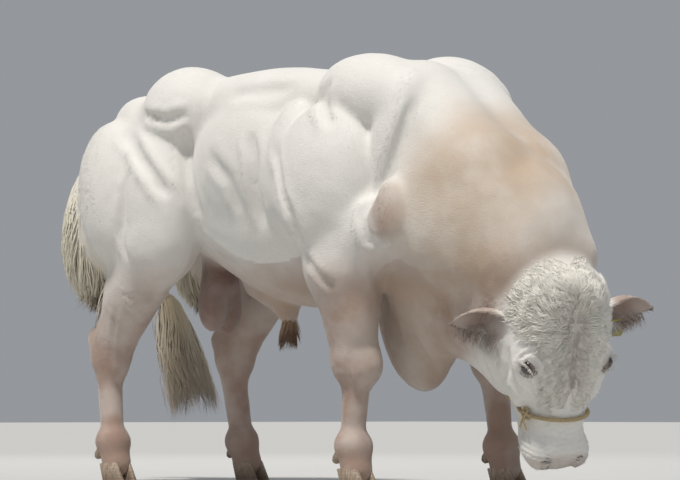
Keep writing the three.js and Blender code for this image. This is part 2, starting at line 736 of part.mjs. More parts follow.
// Ears: a leaf with a C-shaped section, rolled tighter at the root and open in front.
const ear = { length: 186, halfWidth: 47, wall: 10, rings: 10, arc: 9 };
function earOf(root, heading, opening) {
  const along = vec(heading).normalize();
  const open = vec(opening).addScaledVector(along, -vec(opening).dot(along)).normalize();
  const across = new THREE.Vector3().crossVectors(along, open);
  const points = [];
  const sides = ear.arc * 2;
  for (let i = 0; i < ear.rings; i += 1) {
    const t = i / (ear.rings - 1);
    const leaf = Math.sin(Math.PI * Math.pow(0.16 + 0.8 * t, 0.85));
    const width = ear.halfWidth * (0.3 + 0.7 * leaf) * (t > 0.85 ? Math.sqrt((1.02 - t) / 0.17) : 1);
    const roll = 128 - 62 * t;
    const centre = vec(root)
      .addScaledVector(along, ear.length * t)
      .addScaledVector(open, -18 * Math.sin(Math.PI * t));
    const ringPoint = (angle, radius) =>
      centre
        .clone()
        .addScaledVector(across, Math.sin(angle) * radius)
        .addScaledVector(open, -Math.cos(angle) * radius * 0.72);
    for (let j = 0; j < ear.arc; j += 1) {
      const angle = (-1 + (2 * j) / (ear.arc - 1)) * roll * degree;
      points.push(ringPoint(angle, width));
    }
    for (let j = 0; j < ear.arc; j += 1) {
      const angle = (1 - (2 * j) / (ear.arc - 1)) * roll * degree;
      points.push(ringPoint(angle, Math.max(width - ear.wall * (1 - 0.5 * t), 2)));
    }
  }
  const centroid = (ring) => {
    const sum = new THREE.Vector3();
    for (let j = 0; j < ear.arc; j += 1) {
      sum.add(points[ring * sides + j]).add(points[ring * sides + sides - 1 - j]);
    }
    return sum.multiplyScalar(1 / sides);
  };
  const rootPole = centroid(0);
  const tipRing = (ear.rings - 1) * sides;
  const tipPole = points[tipRing + (ear.arc - 1) / 2].clone().addScaledVector(along, 4);
  return solid(closedTube(points, ear.rings, sides, rootPole, tipPole));
}
const headDirection = (along, out, left) =>
  new THREE.Vector3()
    .addScaledVector(headAxes.along, along)
    .addScaledVector(headAxes.out, out)
    .addScaledVector(headAxes.left, left)
    .toArray();
const earRight = {
  root: onHead(146, -142, -148),
  heading: headDirection(-0.02, -0.3, -1),
  opening: headDirection(0.45, 1, -0.2),
};
const earLeft = {
  root: onHead(126, -124, 146),
  heading: headDirection(-0.1, -0.05, 1),
  opening: headDirection(0.45, 1, 0.2),
};
function earFringe(place, side) {
  const locks = [];
  const count = 6;
  const along = vec(place.heading).normalize();
  for (let i = 0; i < count; i += 1) {
    const t = 0.3 + (0.62 * i) / (count - 1);
    const drop = headDirection(1, 0.25, 0.2 * side);
    const root = vec(place.root)
      .addScaledVector(along, ear.length * t)
      .addScaledVector(vec(drop).normalize(), 36 - 26 * Math.max(0, t - 0.7) * 3)
      .toArray();
    locks.push(
      lock({ root, heading: drop, normal: headDirection(0, 1, 0), length: 34, width: 26, thick: 12, steps: 3 }),
    );
  }
  return locks;
}

// Eyes set at the sides of the face, each in a lidded socket.
const eye = { radius: 25, along: 247, out: -44, side: 128 };
const eyeCentre = (side) => onHead(eye.along, eye.out, eye.side * side);
function ballOf(centre, radii, detail = 10) {
  const geometry = new THREE.SphereGeometry(1, detail, Math.round(detail * 0.7));
  geometry.applyMatrix4(headTurn.clone().multiply(new THREE.Matrix4().makeScale(...radii)));
  geometry.translate(...centre);
  return solid(geometry);
}
for (const [name, side] of [["eye_right", -1], ["eye_left", 1]]) {
  solids[name] = ballOf(eyeCentre(side), [eye.radius, eye.radius, eye.radius]);
}
function lidOf(side, upper) {
  const steps = 9;
  const radius = upper ? 31 : 29;
  const path = [];
  const gaze = headDirection(0.1, 0.55, side);
  const forward = vec(gaze).normalize();
  const level = vec(headDirection(0.25, 1, -0.6 * side)).addScaledVector(forward, 0);
  level.addScaledVector(forward, -level.dot(forward)).normalize();
  const rise = new THREE.Vector3().crossVectors(forward, level);
  if (rise.dot(headAxes.along) > 0) {
    rise.negate();
  }
  for (let i = 0; i < steps; i += 1) {
    const angle = Math.PI * (i / (steps - 1));
    path.push(
      vec(eyeCentre(side))
        .addScaledVector(level, Math.cos(angle) * radius)
        .addScaledVector(rise, Math.sin(angle) * radius * (upper ? 0.62 : -0.5))
        .addScaledVector(forward, 9 + 8 * Math.sin(angle))
        .toArray(),
    );
  }
  return tubeOf(path, (t) => (upper ? 9 : 7) * (0.6 + 0.4 * Math.sin(Math.PI * t)), 8, 5);
}

// Nostrils, the line of the mouth and the lips.
function grooveOf(path, radius) {
  return tubeOf(path, () => radius, 12, 5);
}
const mouthPath = [];
for (let i = 0; i <= 12; i += 1) {
  const sweep = -1 + (2 * i) / 12;
  const angle = sweep * 105 * degree;
  mouthPath.push(onHead(574 - 82 * Math.abs(sweep) ** 1.6, -118 - 12 * Math.abs(sweep) + 44 * Math.cos(angle) - 30, 92 * Math.sin(angle)));
}
const mouth = grooveOf(mouthPath, 5);
const nostrilCut = (side) => ballOf(onHead(562, -34, 56 * side), [26, 13, 24], 9);

// The head's coat: parted locks down the forehead, curls round the poll and over the brow.
const headField = nodeField(groupFields.head);
const headRandom = seeded(3);
const headLocks = [];
const parting = { rows: 6, first: -10, last: 300, length: 74, width: 46, thick: 24 };
for (let row = 0; row < parting.rows; row += 1) {
  const t = row / (parting.rows - 1);
  for (const side of [-1, 1]) {
    const along = parting.first + (parting.last - parting.first) * t;
    const root = ontoSurface(headField, onHead(along, 10, side * (10 + 8 * headRandom())));
    const fan = along < 120 ? -0.7 + along / 200 : 0.25;
    headLocks.push(
      lock({
        root: vec(root).addScaledVector(headAxes.out, -3).toArray(),
        heading: headDirection(fan, 0.05, side),
        normal: headDirection(0, 1, 0.2 * side),
        length: parting.length * (0.85 + 0.3 * headRandom()),
        width: parting.width,
        thick: parting.thick,
        curl: 0.25 * side,
        steps: 3,
      }),
    );
  }
}
const pollRing = { count: 8, length: 96, width: 58, thick: 26 };
for (let i = 0; i < pollRing.count; i += 1) {
  const sweep = (i / (pollRing.count - 1) - 0.5) * 190 * degree;
  const outward = headDirection(-Math.cos(sweep), -0.25, Math.sin(sweep));
  const start = onHead(25 - 60 * Math.cos(sweep), -60, 105 * Math.sin(sweep));
  headLocks.push(
    lock({
      root: vec(ontoSurface(headField, start)).addScaledVector(vec(outward), -14).toArray(),
      heading: outward,
      normal: headDirection(-0.2, 1, 0),
      length: pollRing.length * (0.8 + 0.35 * headRandom()),
      width: pollRing.width,
      thick: pollRing.thick,
      sag: 0.2,
      curl: 0.2 * Math.sign(Math.sin(sweep)),
      steps: 3,
    }),
  );
}
const brow = { rows: 3, length: 64, width: 44, thick: 20 };
for (let row = 0; row < brow.rows; row += 1) {
  for (const side of [-1, 1]) {
    const along = 60 + 46 * row;
    const start = ontoSurface(headField, onHead(along, -10, side * (118 + 6 * headRandom())));
    headLocks.push(
      lock({
        root: start,
        heading: headDirection(0.7, 0.1, 0.75 * side),
        normal: headDirection(0, 0.7, side),
        length: brow.length,
        width: brow.width,
        thick: brow.thick,
        curl: -0.2 * side,
        steps: 3,
      }),
    );
  }
}

// Shaggy hair on the back of each thigh.
const shag = { rows: 4, columns: 3, length: 130, width: 96, thick: 40 };
function shagLocks(side, forward) {
  const random = seeded(side === 1 ? 21 : 22);
  const field = groupFields[side === 1 ? "thigh_left" : "thigh_right"];
  const locks = [];
  for (let row = 0; row < shag.rows; row += 1) {
    for (let column = 0; column < shag.columns; column += 1) {
      const height = 1000 - (300 * (row + 0.5 * (column % 2))) / shag.rows;
      const around = (-62 + 52 * column) * degree;
      const centre = [-790 + forward, 225 * side, height];
      const start = off(centre, -150 * Math.cos(around), 130 * side * Math.sin(around) * -1, 0);
      const root = ontoSurface(field, start);
      const normal = normalAt(field, root);
      locks.push(
        lock({
          root: vec(root).addScaledVector(normal, -10).toArray(),
          heading: [normal.x * 0.45, normal.y * 0.45, -1 + normal.z * 0.3],
          normal: normal.toArray(),
          length: shag.length * (0.8 + 0.4 * random()),
          width: shag.width,
          thick: shag.thick,
          curl: (random() - 0.5) * 0.3,
          steps: 3,
        }),
      );
    }
  }
  return locks;
}
solids.thigh_right = joined([solids.thigh_right, ...shagLocks(-1, legs.hind_right.forward)]);
solids.thigh_left = joined([solids.thigh_left, ...shagLocks(1, legs.hind_left.forward)]);

// A twisted cord round the nose, just above the muzzle.
const noseband = { along: 412, radius: 6.5, slack: 5, knot: 13 };
const cordPath = [];
const cordSides = 20;
for (let i = 0; i < cordSides; i += 1) {
  const angle = (i / cordSides) * Math.PI * 2;
  const origin = vec(onHead(noseband.along, -120, 0));
  const direction = vec(headDirection(0, Math.cos(angle), Math.sin(angle)));
  const reach = reachOf(headField, origin, direction, 300);
  cordPath.push(origin.addScaledVector(direction, reach + noseband.slack));
}
const cordCurve = new THREE.CatmullRomCurve3(cordPath, true);
const cord = solid(new THREE.TubeGeometry(cordCurve, 36, noseband.radius, 5, true));
const knotPlace = cordPath[Math.round(cordSides * 0.8)];
solids.noseband = joined([cord, ballOf(knotPlace.toArray(), [noseband.knot * 1.5, noseband.knot, noseband.knot], 7)]);

// Ear tag: a small plate that hangs from the left ear on its own pin.
const tag = { width: 46, height: 56, thick: 4, along: 0.42 };
const tagFrame = new THREE.Matrix4().makeBasis(
  headAxes.left.clone(),
  headAxes.along.clone().negate(),
  headAxes.out.clone(),
);
const tagCentre = vec(earLeft.root)
  .addScaledVector(vec(earLeft.heading).normalize(), ear.length * tag.along)
  .addScaledVector(headAxes.along, 55)
  .addScaledVector(headAxes.out, -26);
const tagPlate = new THREE.BoxGeometry(tag.width, tag.height, tag.thick);
tagPlate.applyMatrix4(tagFrame);
tagPlate.translate(...tagCentre.toArray());
solids.ear_tag = solid(tagPlate);

// Every neighbour is cut clear of the parts that lie over it.
const headWithFeatures = joined([
  wholeHead,
  lidOf(-1, true),
  lidOf(-1, false),
  lidOf(1, true),
  lidOf(1, false),
  ...headLocks,
])
  .subtract(nostrilCut(-1))
  .subtract(nostrilCut(1))
  .subtract(mouth);
solids.head = cutClear(headWithFeatures, [solids.eye_right, solids.eye_left, solids.noseband]);
const wholeEarRight = joined([
  earOf(earRight.root, earRight.heading, earRight.opening),
  ...earFringe(earRight, -1),
]);
solids.ear_right = cutClear(wholeEarRight, [headWithFeatures]);
const wholeEarLeft = joined([earOf(earLeft.root, earLeft.heading, earLeft.opening), ...earFringe(earLeft, 1)]);
solids.ear_left = cutClear(wholeEarLeft, [headWithFeatures, solids.ear_tag]);

const whole = {};
for (const side of ["right", "left"]) {
  const fore = "fore_" + side;
  const hind = "hind_" + side;
  const soles = (leg) => clawNames.filter((name) => name.includes(leg)).map((name) => solids[name]);
  const fetlock = (leg) => [legs[leg].fetlock[0], feet[leg][1], legs[leg].fetlock[2]];
  const shoulder = solids["shoulder_" + side];
  const thigh = solids["thigh_" + side];
  const foreleg = joined([forelegOf(side), ...dewclawsOf(feet[fore], fetlock(fore))]);
  whole["foreleg_" + side] = foreleg;
  solids["foreleg_" + side] = cutClear(foreleg, [...soles(fore), shoulder, solids.torso]);
  const shank = joined([shankOf(side), ...dewclawsOf(feet[hind], fetlock(hind))]);
  whole["shank_" + side] = shank;
  solids["shank_" + side] = cutClear(shank, [...soles(hind), thigh, solids.torso]);
  whole["shoulder_" + side] = shoulder;
  whole["thigh_" + side] = thigh;
  solids["shoulder_" + side] = cutClear(shoulder, [solids.torso]);
  solids["thigh_" + side] = cutClear(thigh, [solids.torso]);
}
const limbs = ["shoulder_right", "shoulder_left", "foreleg_right", "foreleg_left"].map((name) => whole[name]);
const hindLimbs = ["thigh_right", "thigh_left", "shank_right", "shank_left"].map((name) => whole[name]);
solids.thigh_left = cutClear(solids.thigh_left, [whole.thigh_right]);
solids.neck = cutClear(wholeNeck, [headWithFeatures, solids.torso, ...limbs, wholeEarRight]);
const wholeDewlap = solid(
  traced(nodeField(fieldOf(dewlapMuscles)), [[600, -10, 640], [580, -10, 430]], {
    rings: 8,
    sides: 16,
    cap: 4,
    farthest: 260,
    up: [1, 0, 0],
  }),
);
solids.dewlap = cutClear(wholeDewlap, [solids.torso, wholeNeck, ...limbs.slice(2)]);
solids.scrotum = cutClear(scrotum, [solids.torso, ...hindLimbs]);
solids.sheath = cutClear(sheath, [solids.torso, scrotum]);
solids.sheath_tuft = cutClear(sheathTuft, [sheath]);
solids.tail = cutClear(wholeTail, [solids.torso, whole.thigh_right, whole.thigh_left]);
solids.tail_switch = cutClear(wholeSwitch, [wholeTail]);

const flesh = new THREE.MeshStandardMaterial({ color: 0xe9e2d8, roughness: 0.85 });
const horn = new THREE.MeshStandardMaterial({ color: 0x5a4a3c, roughness: 0.5 });
const darkEye = new THREE.MeshStandardMaterial({ color: 0x1c120c, roughness: 0.1 });
const rope = new THREE.MeshStandardMaterial({ color: 0x8a7440, roughness: 0.9 });
const tagPlastic = new THREE.MeshStandardMaterial({ color: 0xa89a3c, roughness: 0.5 });
function finishOf(name) {
  if (name.startsWith("claw")) {
    return horn;
  }
  if (name.startsWith("eye")) {
    return darkEye;
  }
  if (name === "noseband") {
    return rope;
  }
  return name === "ear_tag" ? tagPlastic : flesh;
}

const bull = new THREE.Group();
bull.name = "belgian_blue_bull";
for (const [name, body] of Object.entries(solids)) {
  const mesh = new THREE.Mesh(geometryOf(body), finishOf(name));
  mesh.name = name;
  bull.add(mesh);
}
bull.position.set(bodyShift.x, bodyShift.y, 0);

export default bull;
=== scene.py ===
# Grazing Belgian Blue bull: one skin over all its flesh, with the coat as solid tufts.
# Lengths in the muscle lists are millimetres in the animal's own frame; meshes are in metres.
import math

import bmesh
import bpy
import numpy as np
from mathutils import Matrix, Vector


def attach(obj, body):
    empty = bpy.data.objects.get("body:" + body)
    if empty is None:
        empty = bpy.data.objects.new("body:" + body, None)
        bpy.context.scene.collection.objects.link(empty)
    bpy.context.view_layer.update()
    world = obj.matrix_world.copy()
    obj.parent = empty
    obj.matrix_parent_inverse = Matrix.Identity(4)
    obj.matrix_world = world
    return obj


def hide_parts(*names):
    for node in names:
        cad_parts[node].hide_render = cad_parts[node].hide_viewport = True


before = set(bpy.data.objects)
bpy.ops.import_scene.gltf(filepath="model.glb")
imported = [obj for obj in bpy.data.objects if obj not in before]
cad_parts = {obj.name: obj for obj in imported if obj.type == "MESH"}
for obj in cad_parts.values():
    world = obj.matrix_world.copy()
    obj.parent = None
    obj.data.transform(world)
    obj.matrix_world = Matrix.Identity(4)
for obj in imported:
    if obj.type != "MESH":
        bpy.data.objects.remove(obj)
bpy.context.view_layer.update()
print("frame loaded:", len(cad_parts), "nodes")

degree = math.pi / 180
bodyShift = np.array([-111.0, 0.0, 0.0])  # the same shift as in the part's source
coatDepth = 3.0  # the skin lies this far inside the solids


def toScene(points):
    return (np.asarray(points, dtype=np.float64) + bodyShift) * 0.001


# Camera, on the line from which the bull shows its head, right side and chest.
cameraSpec = {
    "azimuth": 47 * degree,
    "distance": 8.5,
    "height": 0.245,
    "aside": 0.1435,
    "focalPixels": 2460,
    "imageWidth": 680,
    "pitch": math.atan(175 / 2460),
}


def makeCamera(spec):
    data = bpy.data.cameras.new("camera")
    data.sensor_width = 36
    data.lens = 36 * spec["focalPixels"] / spec["imageWidth"]
    camera = bpy.data.objects.new("camera", data)
    bpy.context.scene.collection.objects.link(camera)
    right = np.array([math.cos(spec["azimuth"]), math.sin(spec["azimuth"]), 0])
    ahead = np.array([-math.sin(spec["azimuth"]), math.cos(spec["azimuth"]), 0])
    place = -spec["distance"] * ahead + spec["aside"] * right + np.array([0, 0, spec["height"]])
    camera.location = Vector(place + bodyShift * 0.001)
    aim = ahead * math.cos(spec["pitch"]) + np.array([0, 0, math.sin(spec["pitch"])])
    camera.rotation_euler = Vector(aim).to_track_quat("-Z", "Y").to_euler()
    bpy.context.scene.camera = camera
    return camera


makeCamera(cameraSpec)
print("camera placed")


# Muscles: an ellipsoid has a centre, radii and a turn in degrees about x, then y, then z.
def ell(name, centre, radii, turn, blend):
    return {"kind": "ell", "name": name, "centre": centre, "radii": radii, "turn": turn, "blend": blend}


# A limb runs from one ball to another; flat squeezes it sideways.
def limb(name, start, end, startRadius, endRadius, blend, flat=1.0):
    return {
        "kind": "limb",
        "name": name,
        "start": start,
        "end": end,
        "startRadius": startRadius,
        "endRadius": endRadius,
        "blend": blend,
        "flat": flat,
    }


def flip(point):
    return [point[0], -point[1], point[2]]


def mirrored(muscle):
    copy = dict(muscle)
    if muscle["kind"] == "limb":
        copy["start"], copy["end"] = flip(muscle["start"]), flip(muscle["end"])
    else:
        copy["centre"] = flip(muscle["centre"])
        turn = muscle["turn"]
        copy["turn"] = [-turn[0], turn[1], -turn[2]]
    return copy


def both(muscles):
    return muscles + [mirrored(muscle) for muscle in muscles]


def mix(a, b, t):
    return [a[i] + (b[i] - a[i]) * t for i in range(3)]


def off(a, x, y, z):
    return [a[0] + x, a[1] + y, a[2] + z]


trunkMuscles = [
    ell("barrel", [150, 0, 1005], [560, 330, 396], [0, 0, 0], 0),
    ell("belly", [-190, 0, 1070], [440, 285, 300], [0, -6, 0], 90),
    ell("pelvis", [-560, 0, 1160], [340, 250, 230], [0, 10, 0], 90),
    ell("withers", [560, 0, 1080], [330, 260, 300], [0, 12, 0], 90),
    ell("breast", [690, 0, 790], [230, 215, 290], [0, -15, 0], 80),
    ell("tailHead", [-790, 0, 1200], [130, 70, 80], [0, 34, 0], 70),
] + both([
    ell("loin", [10, -140, 1300], [500, 152, 130], [0, 1, -2], 26),
    ell("rumpLobe", [-345, -185, 1300], [215, 165, 172], [0, 6, 0], 22),
    ell("croupLobe", [-550, -165, 1225], [225, 152, 150], [0, 32, 0], 44),
    ell("ribLobe", [60, -215, 1110], [300, 150, 230], [0, 6, 0], 40),
]) + [ell("dewlap", [590, -10, 560], [150, 95, 245], [0, -14, 0], 60)]


def shoulderMuscles(forward, lift):
    return [
        ell("tricepsLobe", [455 + forward, -285, 1010], [215, 135, 255], [0, 8, 0], 0),
        ell("latissimus", [285 + forward, -262, 1060], [115, 112, 225], [0, 6, 0], 18),
        ell("trapezius", [590 + forward, -180, 1275 + lift], [235, 150, 145], [0, 12, 6], 20),
        ell("supraspinatus", [715 + forward, -205, 1110], [92, 105, 235], [0, 16, 0], 28),
        ell("shoulderPoint", [775 + forward, -290, 880], [62, 70, 112], [0, 0, 0], 16),
        ell("upperArm", [620 + forward, -235, 830], [210, 120, 130], [0, -15, 0], 40),
    ]


def forelegMuscles(leg):
    elbow, knee, fetlock, foot = leg["elbow"], leg["knee"], leg["fetlock"], leg["foot"]
    return [
        ell("elbowMass", off(elbow, 0, 0, -10), [160, 102, 165], [0, 0, 0], 0),
        limb("forearm", off(elbow, 20, 0, -40), mix(elbow, knee, 0.85), 128, 88, 40, 0.82),
        ell("extensor", off(mix(elbow, knee, 0.42), 50, -10, 0), [72, 66, 170], [0, 0, 0], 22),
        ell("knee", off(knee, 4, 0, 0), [100, 72, 88], [0, 0, 0], 28),
        limb("cannon", off(knee, 0, 0, -40), off(fetlock, 0, 0, 30), 47, 43, 26, 0.95),
        limb("tendon", off(knee, -30, 0, -50), off(fetlock, -26, 0, 20), 28, 28, 20, 0.8),
        ell("fetlock", fetlock, [62, 66, 56], [0, 0, 0], 24),
        limb("pastern", fetlock, mix(fetlock, foot, 0.54), 54, 52, 24, 1.1),
    ]


def thighMuscles(leg):
    forward = leg["forward"]
    return [
        ell("quadriceps", [-430 + forward, -262, 1010], [180, 135, 240], [0, -16, 0], 0),
        ell("bicepsFemoris", [-640 + forward, -275, 1030], [185, 142, 275], [0, -6, 0], 18),
        ell("semitendinosus", [-795 + forward, -225, 960], [155, 138, 255], [0, 10, 0], 20),
        limb("thighCore", leg["hip"], leg["stifle"], 200, 150, 50, 0.8),
    ]


def shankMuscles(leg):
    stifle, hock, fetlock, foot = leg["stifle"], leg["hock"], leg["fetlock"], leg["foot"]
    return [
        limb("gaskin", off(stifle, -40, 0, -10), mix(stifle, hock, 0.8), 150, 98, 50, 0.7),
        ell("calf", off(mix(stifle, hock, 0.45), -50, 0, 20), [105, 78, 165], [0, 28, 0], 26),
        limb("achilles", off(mix(stifle, hock, 0.5), -60, 0, 0), off(hock, -68, 0, 45), 46, 30, 22, 0.8),
        ell("hockPoint", off(hock, -64, 0, 40), [42, 36, 50], [0, 0, 0], 20),
        ell("hock", off(hock, 4, 0, 6), [84, 60, 108], [0, 18, 0], 26),
        ell("hockFront", off(hock, 42, 0, -6), [74, 54, 130], [0, 10, 0], 30),
        limb("cannon", off(hock, 0, 0, -50), off(fetlock, 0, 0, 30), 52, 45, 26, 0.9),
        limb("tendon", off(hock, -30, 0, -40), off(fetlock, -28, 0, 20), 32, 28, 20, 0.8),
        ell("fetlock", fetlock, [62, 64, 56], [0, 0, 0], 24),
        limb("pastern", fetlock, mix(fetlock, foot, 0.54), 54, 52, 24, 1.1),
    ]


neckMuscles = [
    limb("neckBase", [640, 0, 1010], [1010, -30, 800], 330, 262, 0, 0.86),
    limb("neckTop", [980, -25, 820], [1090, -35, 640], 262, 190, 60, 0.9),
    limb("throat", [790, -30, 600], [1060, -80, 520], 165, 150, 70, 0.7),
    limb("crestRight", [700, -95, 1235], [980, -100, 1010], 160, 138, 40),
    limb("crestLeft", [700, 95, 1235], [985, 70, 1010], 160, 125, 40),
    limb("crestTipRight", [980, -100, 1010], [1110, -110, 730], 138, 125, 40),
    limb("crestTipLeft", [985, 70, 1010], [1150, 60, 740], 125, 125, 40),
    ell("neckSideRight", [890, -160, 900], [240, 140, 260], [0, 30, 0], 70),
    ell("neckSideLeft", [880, 140, 900], [210, 130, 250], [0, 30, 0], 70),
]

# The head has its own frame: along the face to the muzzle, out of the face, and to its left.
head = {"poll": np.array([1370.0, -88.0, 620.0]), "yaw": -20, "pitch": 18, "roll": 4}


def headAxes(spec):
    yaw, pitch, roll = spec["yaw"] * degree, spec["pitch"] * degree, spec["roll"] * degree
    out = np.array([math.cos(yaw) * math.cos(pitch), math.sin(yaw) * math.cos(pitch), -math.sin(pitch)])
    down = np.array([-math.cos(yaw) * math.sin(pitch), -math.sin(yaw) * math.sin(pitch), -math.cos(pitch)])
    side = np.cross(out, down)
    along = down * math.cos(roll) + side * math.sin(roll)
    left = -down * math.sin(roll) + side * math.cos(roll)
    return np.stack([along, out, left])


headBasis = headAxes(head)  # rows: along, out, left


def onHead(along, out, left):
    return head["poll"] + np.array([along, out, left]) @ headBasis


def headWay(along, out, left):
    way = np.array([along, out, left], dtype=float) @ headBasis
    return way / np.linalg.norm(way)


def headLocal(points):
    return (points - head["poll"]) @ headBasis.T


headShapes = [
    {"name": "skull", "at": [110, -150, 0], "radii": [165, 150, 150], "blend": 0},
    {"name": "poll", "at": [36, -100, 0], "radii": [75, 108, 122], "blend": 40},
    {"name": "forehead", "at": [190, -82, 0], "radii": [190, 82, 152], "blend": 40},
    {"name": "face", "at": [240, -118, 0], "to": [480, -104, 0], "from": 118, "end": 92, "blend": 50},
    {"name": "muzzle", "at": [530, -92, 0], "radii": [70, 92, 108], "blend": 40},
    {"name": "chin", "at": [530, -170, 0], "radii": [52, 50, 72], "blend": 30},
    {"name": "jaw", "at": [285, -305, 0], "to": [505, -190, 0], "from": 108, "end": 62, "blend": 50},
    {"name": "cheek", "at": [228, -225, 108], "radii": [168, 172, 82], "blend": 36, "pair": True},
    {"name": "jawAngle", "at": [262, -345, 92], "radii": [118, 96, 68], "blend": 30, "pair": True},
    {"name": "orbit", "at": [240, -72, 120], "radii": [60, 50, 46], "blend": 26, "pair": True},
    {"name": "zygoma", "at": [302, -122, 116], "radii": [100, 54, 42], "blend": 24, "pair": True},
    {"name": "nostrilWing", "at": [540, -60, 66], "radii": [50, 48, 36], "blend": 22, "pair": True},
]


def headMuscle(shape, side):
    start = onHead(shape["at"][0], shape["at"][1], shape["at"][2] * side)
    if "to" in shape:
        end = onHead(shape["to"][0], shape["to"][1], shape["to"][2] * side)
        return limb(shape["name"], list(start), list(end), shape["from"], shape["end"], shape["blend"])
    muscle = ell(shape["name"], list(start), shape["radii"], [0, 0, 0], shape["blend"])
    muscle["basis"] = headBasis
    return muscle


headMuscles = [headMuscle(shape, side) for shape in headShapes for side in ([1, -1] if "pair" in shape else [1])]

legs = {
    "foreRight": {
        "elbow": [487, -250, 760],
        "knee": [510, -205, 410],
        "fetlock": [490, -200, 145],
        "foot": [520, -205, 0],
    },
    "foreLeft": {
        "elbow": [560, 250, 760],
        "knee": [730, 215, 420],
        "fetlock": [765, 205, 145],
        "foot": [800, 205, 0],
    },
    "hindRight": {
        "hip": [-430, -190, 1120],
        "stifle": [-420, -260, 860],
        "hock": [-775, -225, 480],
        "fetlock": [-735, -235, 150],
        "foot": [-690, -240, 0],
        "forward": 0,
    },
    "hindLeft": {
        "hip": [-430, -190, 1120],
        "stifle": [-340, -260, 860],
        "hock": [-615, -225, 480],
        "fetlock": [-570, -235, 150],
        "foot": [-520, -240, 0],
        "forward": 60,
    },
}

tail = {
    "path": [
        [-800, 0, 1262],
        [-900, -6, 1298],
        [-1010, -18, 1290],
        [-1100, -28, 1235],
        [-1150, -30, 1140],
        [-1160, -20, 1020],
        [-1130, 20, 900],
        [-1075, 110, 790],
        [-1020, 200, 715],
        [-1000, 262, 668],
        [-998, 286, 622],
    ],
    "root": 52,
    "tip": 21,
    "taper": 1.7,
}


def smoothPath(points, count):
    # Centripetal-like curve: cubic Hermite through the points, tangents from their neighbours.
    points = np.asarray(points, dtype=float)
    tangents = np.gradient(points, axis=0)
    t = np.linspace(0, len(points) - 1, count)
    k = np.minimum(t.astype(int), len(points) - 2)
    u = (t - k)[:, None]
    a, b, ta, tb = points[k], points[k + 1], tangents[k], tangents[k + 1]
    return a * (2 * u**3 - 3 * u**2 + 1) + ta * (u**3 - 2 * u**2 + u) + b * (3 * u**2 - 2 * u**3) + tb * (u**3 - u**2)


def tailMuscles(spec):
    path = smoothPath(spec["path"], 19)
    radii = [spec["root"] - (spec["root"] - spec["tip"]) * min(1, spec["taper"] * i / 18) for i in range(19)]
    return [
        limb("tail", list(path[i]), list(path[i + 1]), radii[i], radii[i + 1], 8 if i else 0)
        for i in range(18)
    ]


underMuscles = [
    limb("purse", [-425, 0, 860], [-420, 0, 720], 62, 70, 0),
    ell("testisRight", [-418, -36, 640], [62, 50, 100], [0, 0, 0], 30),
    ell("testisLeft", [-424, 38, 628], [62, 50, 98], [0, 0, 0], 30),
]
sheathMuscles = [
    limb("sheathRoot", [-200, 0, 720], [-60, 0, 622], 74, 48, 0, 0.8),
    limb("sheathTip", [-60, 0, 622], [-48, 0, 585], 44, 34, 30, 0.9),
]

# Groups blend into the body in this order, each with the width of its own fillet.
bodyGroups = [
    (0, trunkMuscles),
    (80, neckMuscles),
    (24, shoulderMuscles(0, 0)),
    (24, [mirrored(m) for m in shoulderMuscles(-20, 28)]),
    (40, forelegMuscles(legs["foreRight"])),
    (40, forelegMuscles(legs["foreLeft"])),
    (26, thighMuscles(legs["hindRight"])),
    (50, shankMuscles(legs["hindRight"])),
    (26, [mirrored(m) for m in thighMuscles(legs["hindLeft"])]),
    (50, [mirrored(m) for m in shankMuscles(legs["hindLeft"])]),
    (50, headMuscles),
    (30, tailMuscles(tail)),
    (30, underMuscles),
    (30, sheathMuscles),
]


def turnMatrix(turn):
    x, y, z = [angle * degree for angle in turn]
    turnX = np.array([[1, 0, 0], [0, math.cos(x), -math.sin(x)], [0, math.sin(x), math.cos(x)]])
    turnY = np.array([[math.cos(y), 0, math.sin(y)], [0, 1, 0], [-math.sin(y), 0, math.cos(y)]])
    turnZ = np.array([[math.cos(z), -math.sin(z), 0], [math.sin(z), math.cos(z), 0], [0, 0, 1]])
    return turnZ @ turnY @ turnX


def muscleDistance(muscle, points):
    # Ellipsoid: k (k - 1) / |gradient| of the scaled radius k. Limb: distance to a segment less its radius.
    if muscle["kind"] == "ell":
        basis = muscle["basis"] if "basis" in muscle else turnMatrix(muscle["turn"]).T
        local = (points - np.array(muscle["centre"], np.float32)) @ basis.T.astype(np.float32)
        radii = np.array(muscle["radii"], np.float32)
        scaled = np.sqrt(((local / radii) ** 2).sum(-1))
        slope = np.sqrt(((local / radii**2) ** 2).sum(-1)) + 1e-9
        return scaled * (scaled - 1) / slope
    squeeze = np.array([1, 1 / muscle["flat"], 1], np.float32)
    start = np.array(muscle["start"], np.float32)
    axis = (np.array(muscle["end"], np.float32) - start) * squeeze
    local = (points - start) * squeeze
    t = np.clip(local @ axis / (axis @ axis), 0, 1)
    gap = np.sqrt(((local - t[..., None] * axis) ** 2).sum(-1))
    return gap - (muscle["startRadius"] + (muscle["endRadius"] - muscle["startRadius"]) * t)


def smoothMin(a, b, width):
    if width <= 0:
        return np.minimum(a, b)
    h = np.maximum(width - np.abs(a - b), 0) / width
    return np.minimum(a, b) - h * h * width / 4


def muscleReach(muscle, pad=95):
    if muscle["kind"] == "ell":
        centre, reach = np.array(muscle["centre"]), max(muscle["radii"])
        return centre - reach - pad, centre + reach + pad
    reach = max(muscle["startRadius"], muscle["endRadius"])
    low = np.minimum(muscle["start"], muscle["end"]) - reach - pad
    return low, np.maximum(muscle["start"], muscle["end"]) + reach + pad


farAway = 1000.0


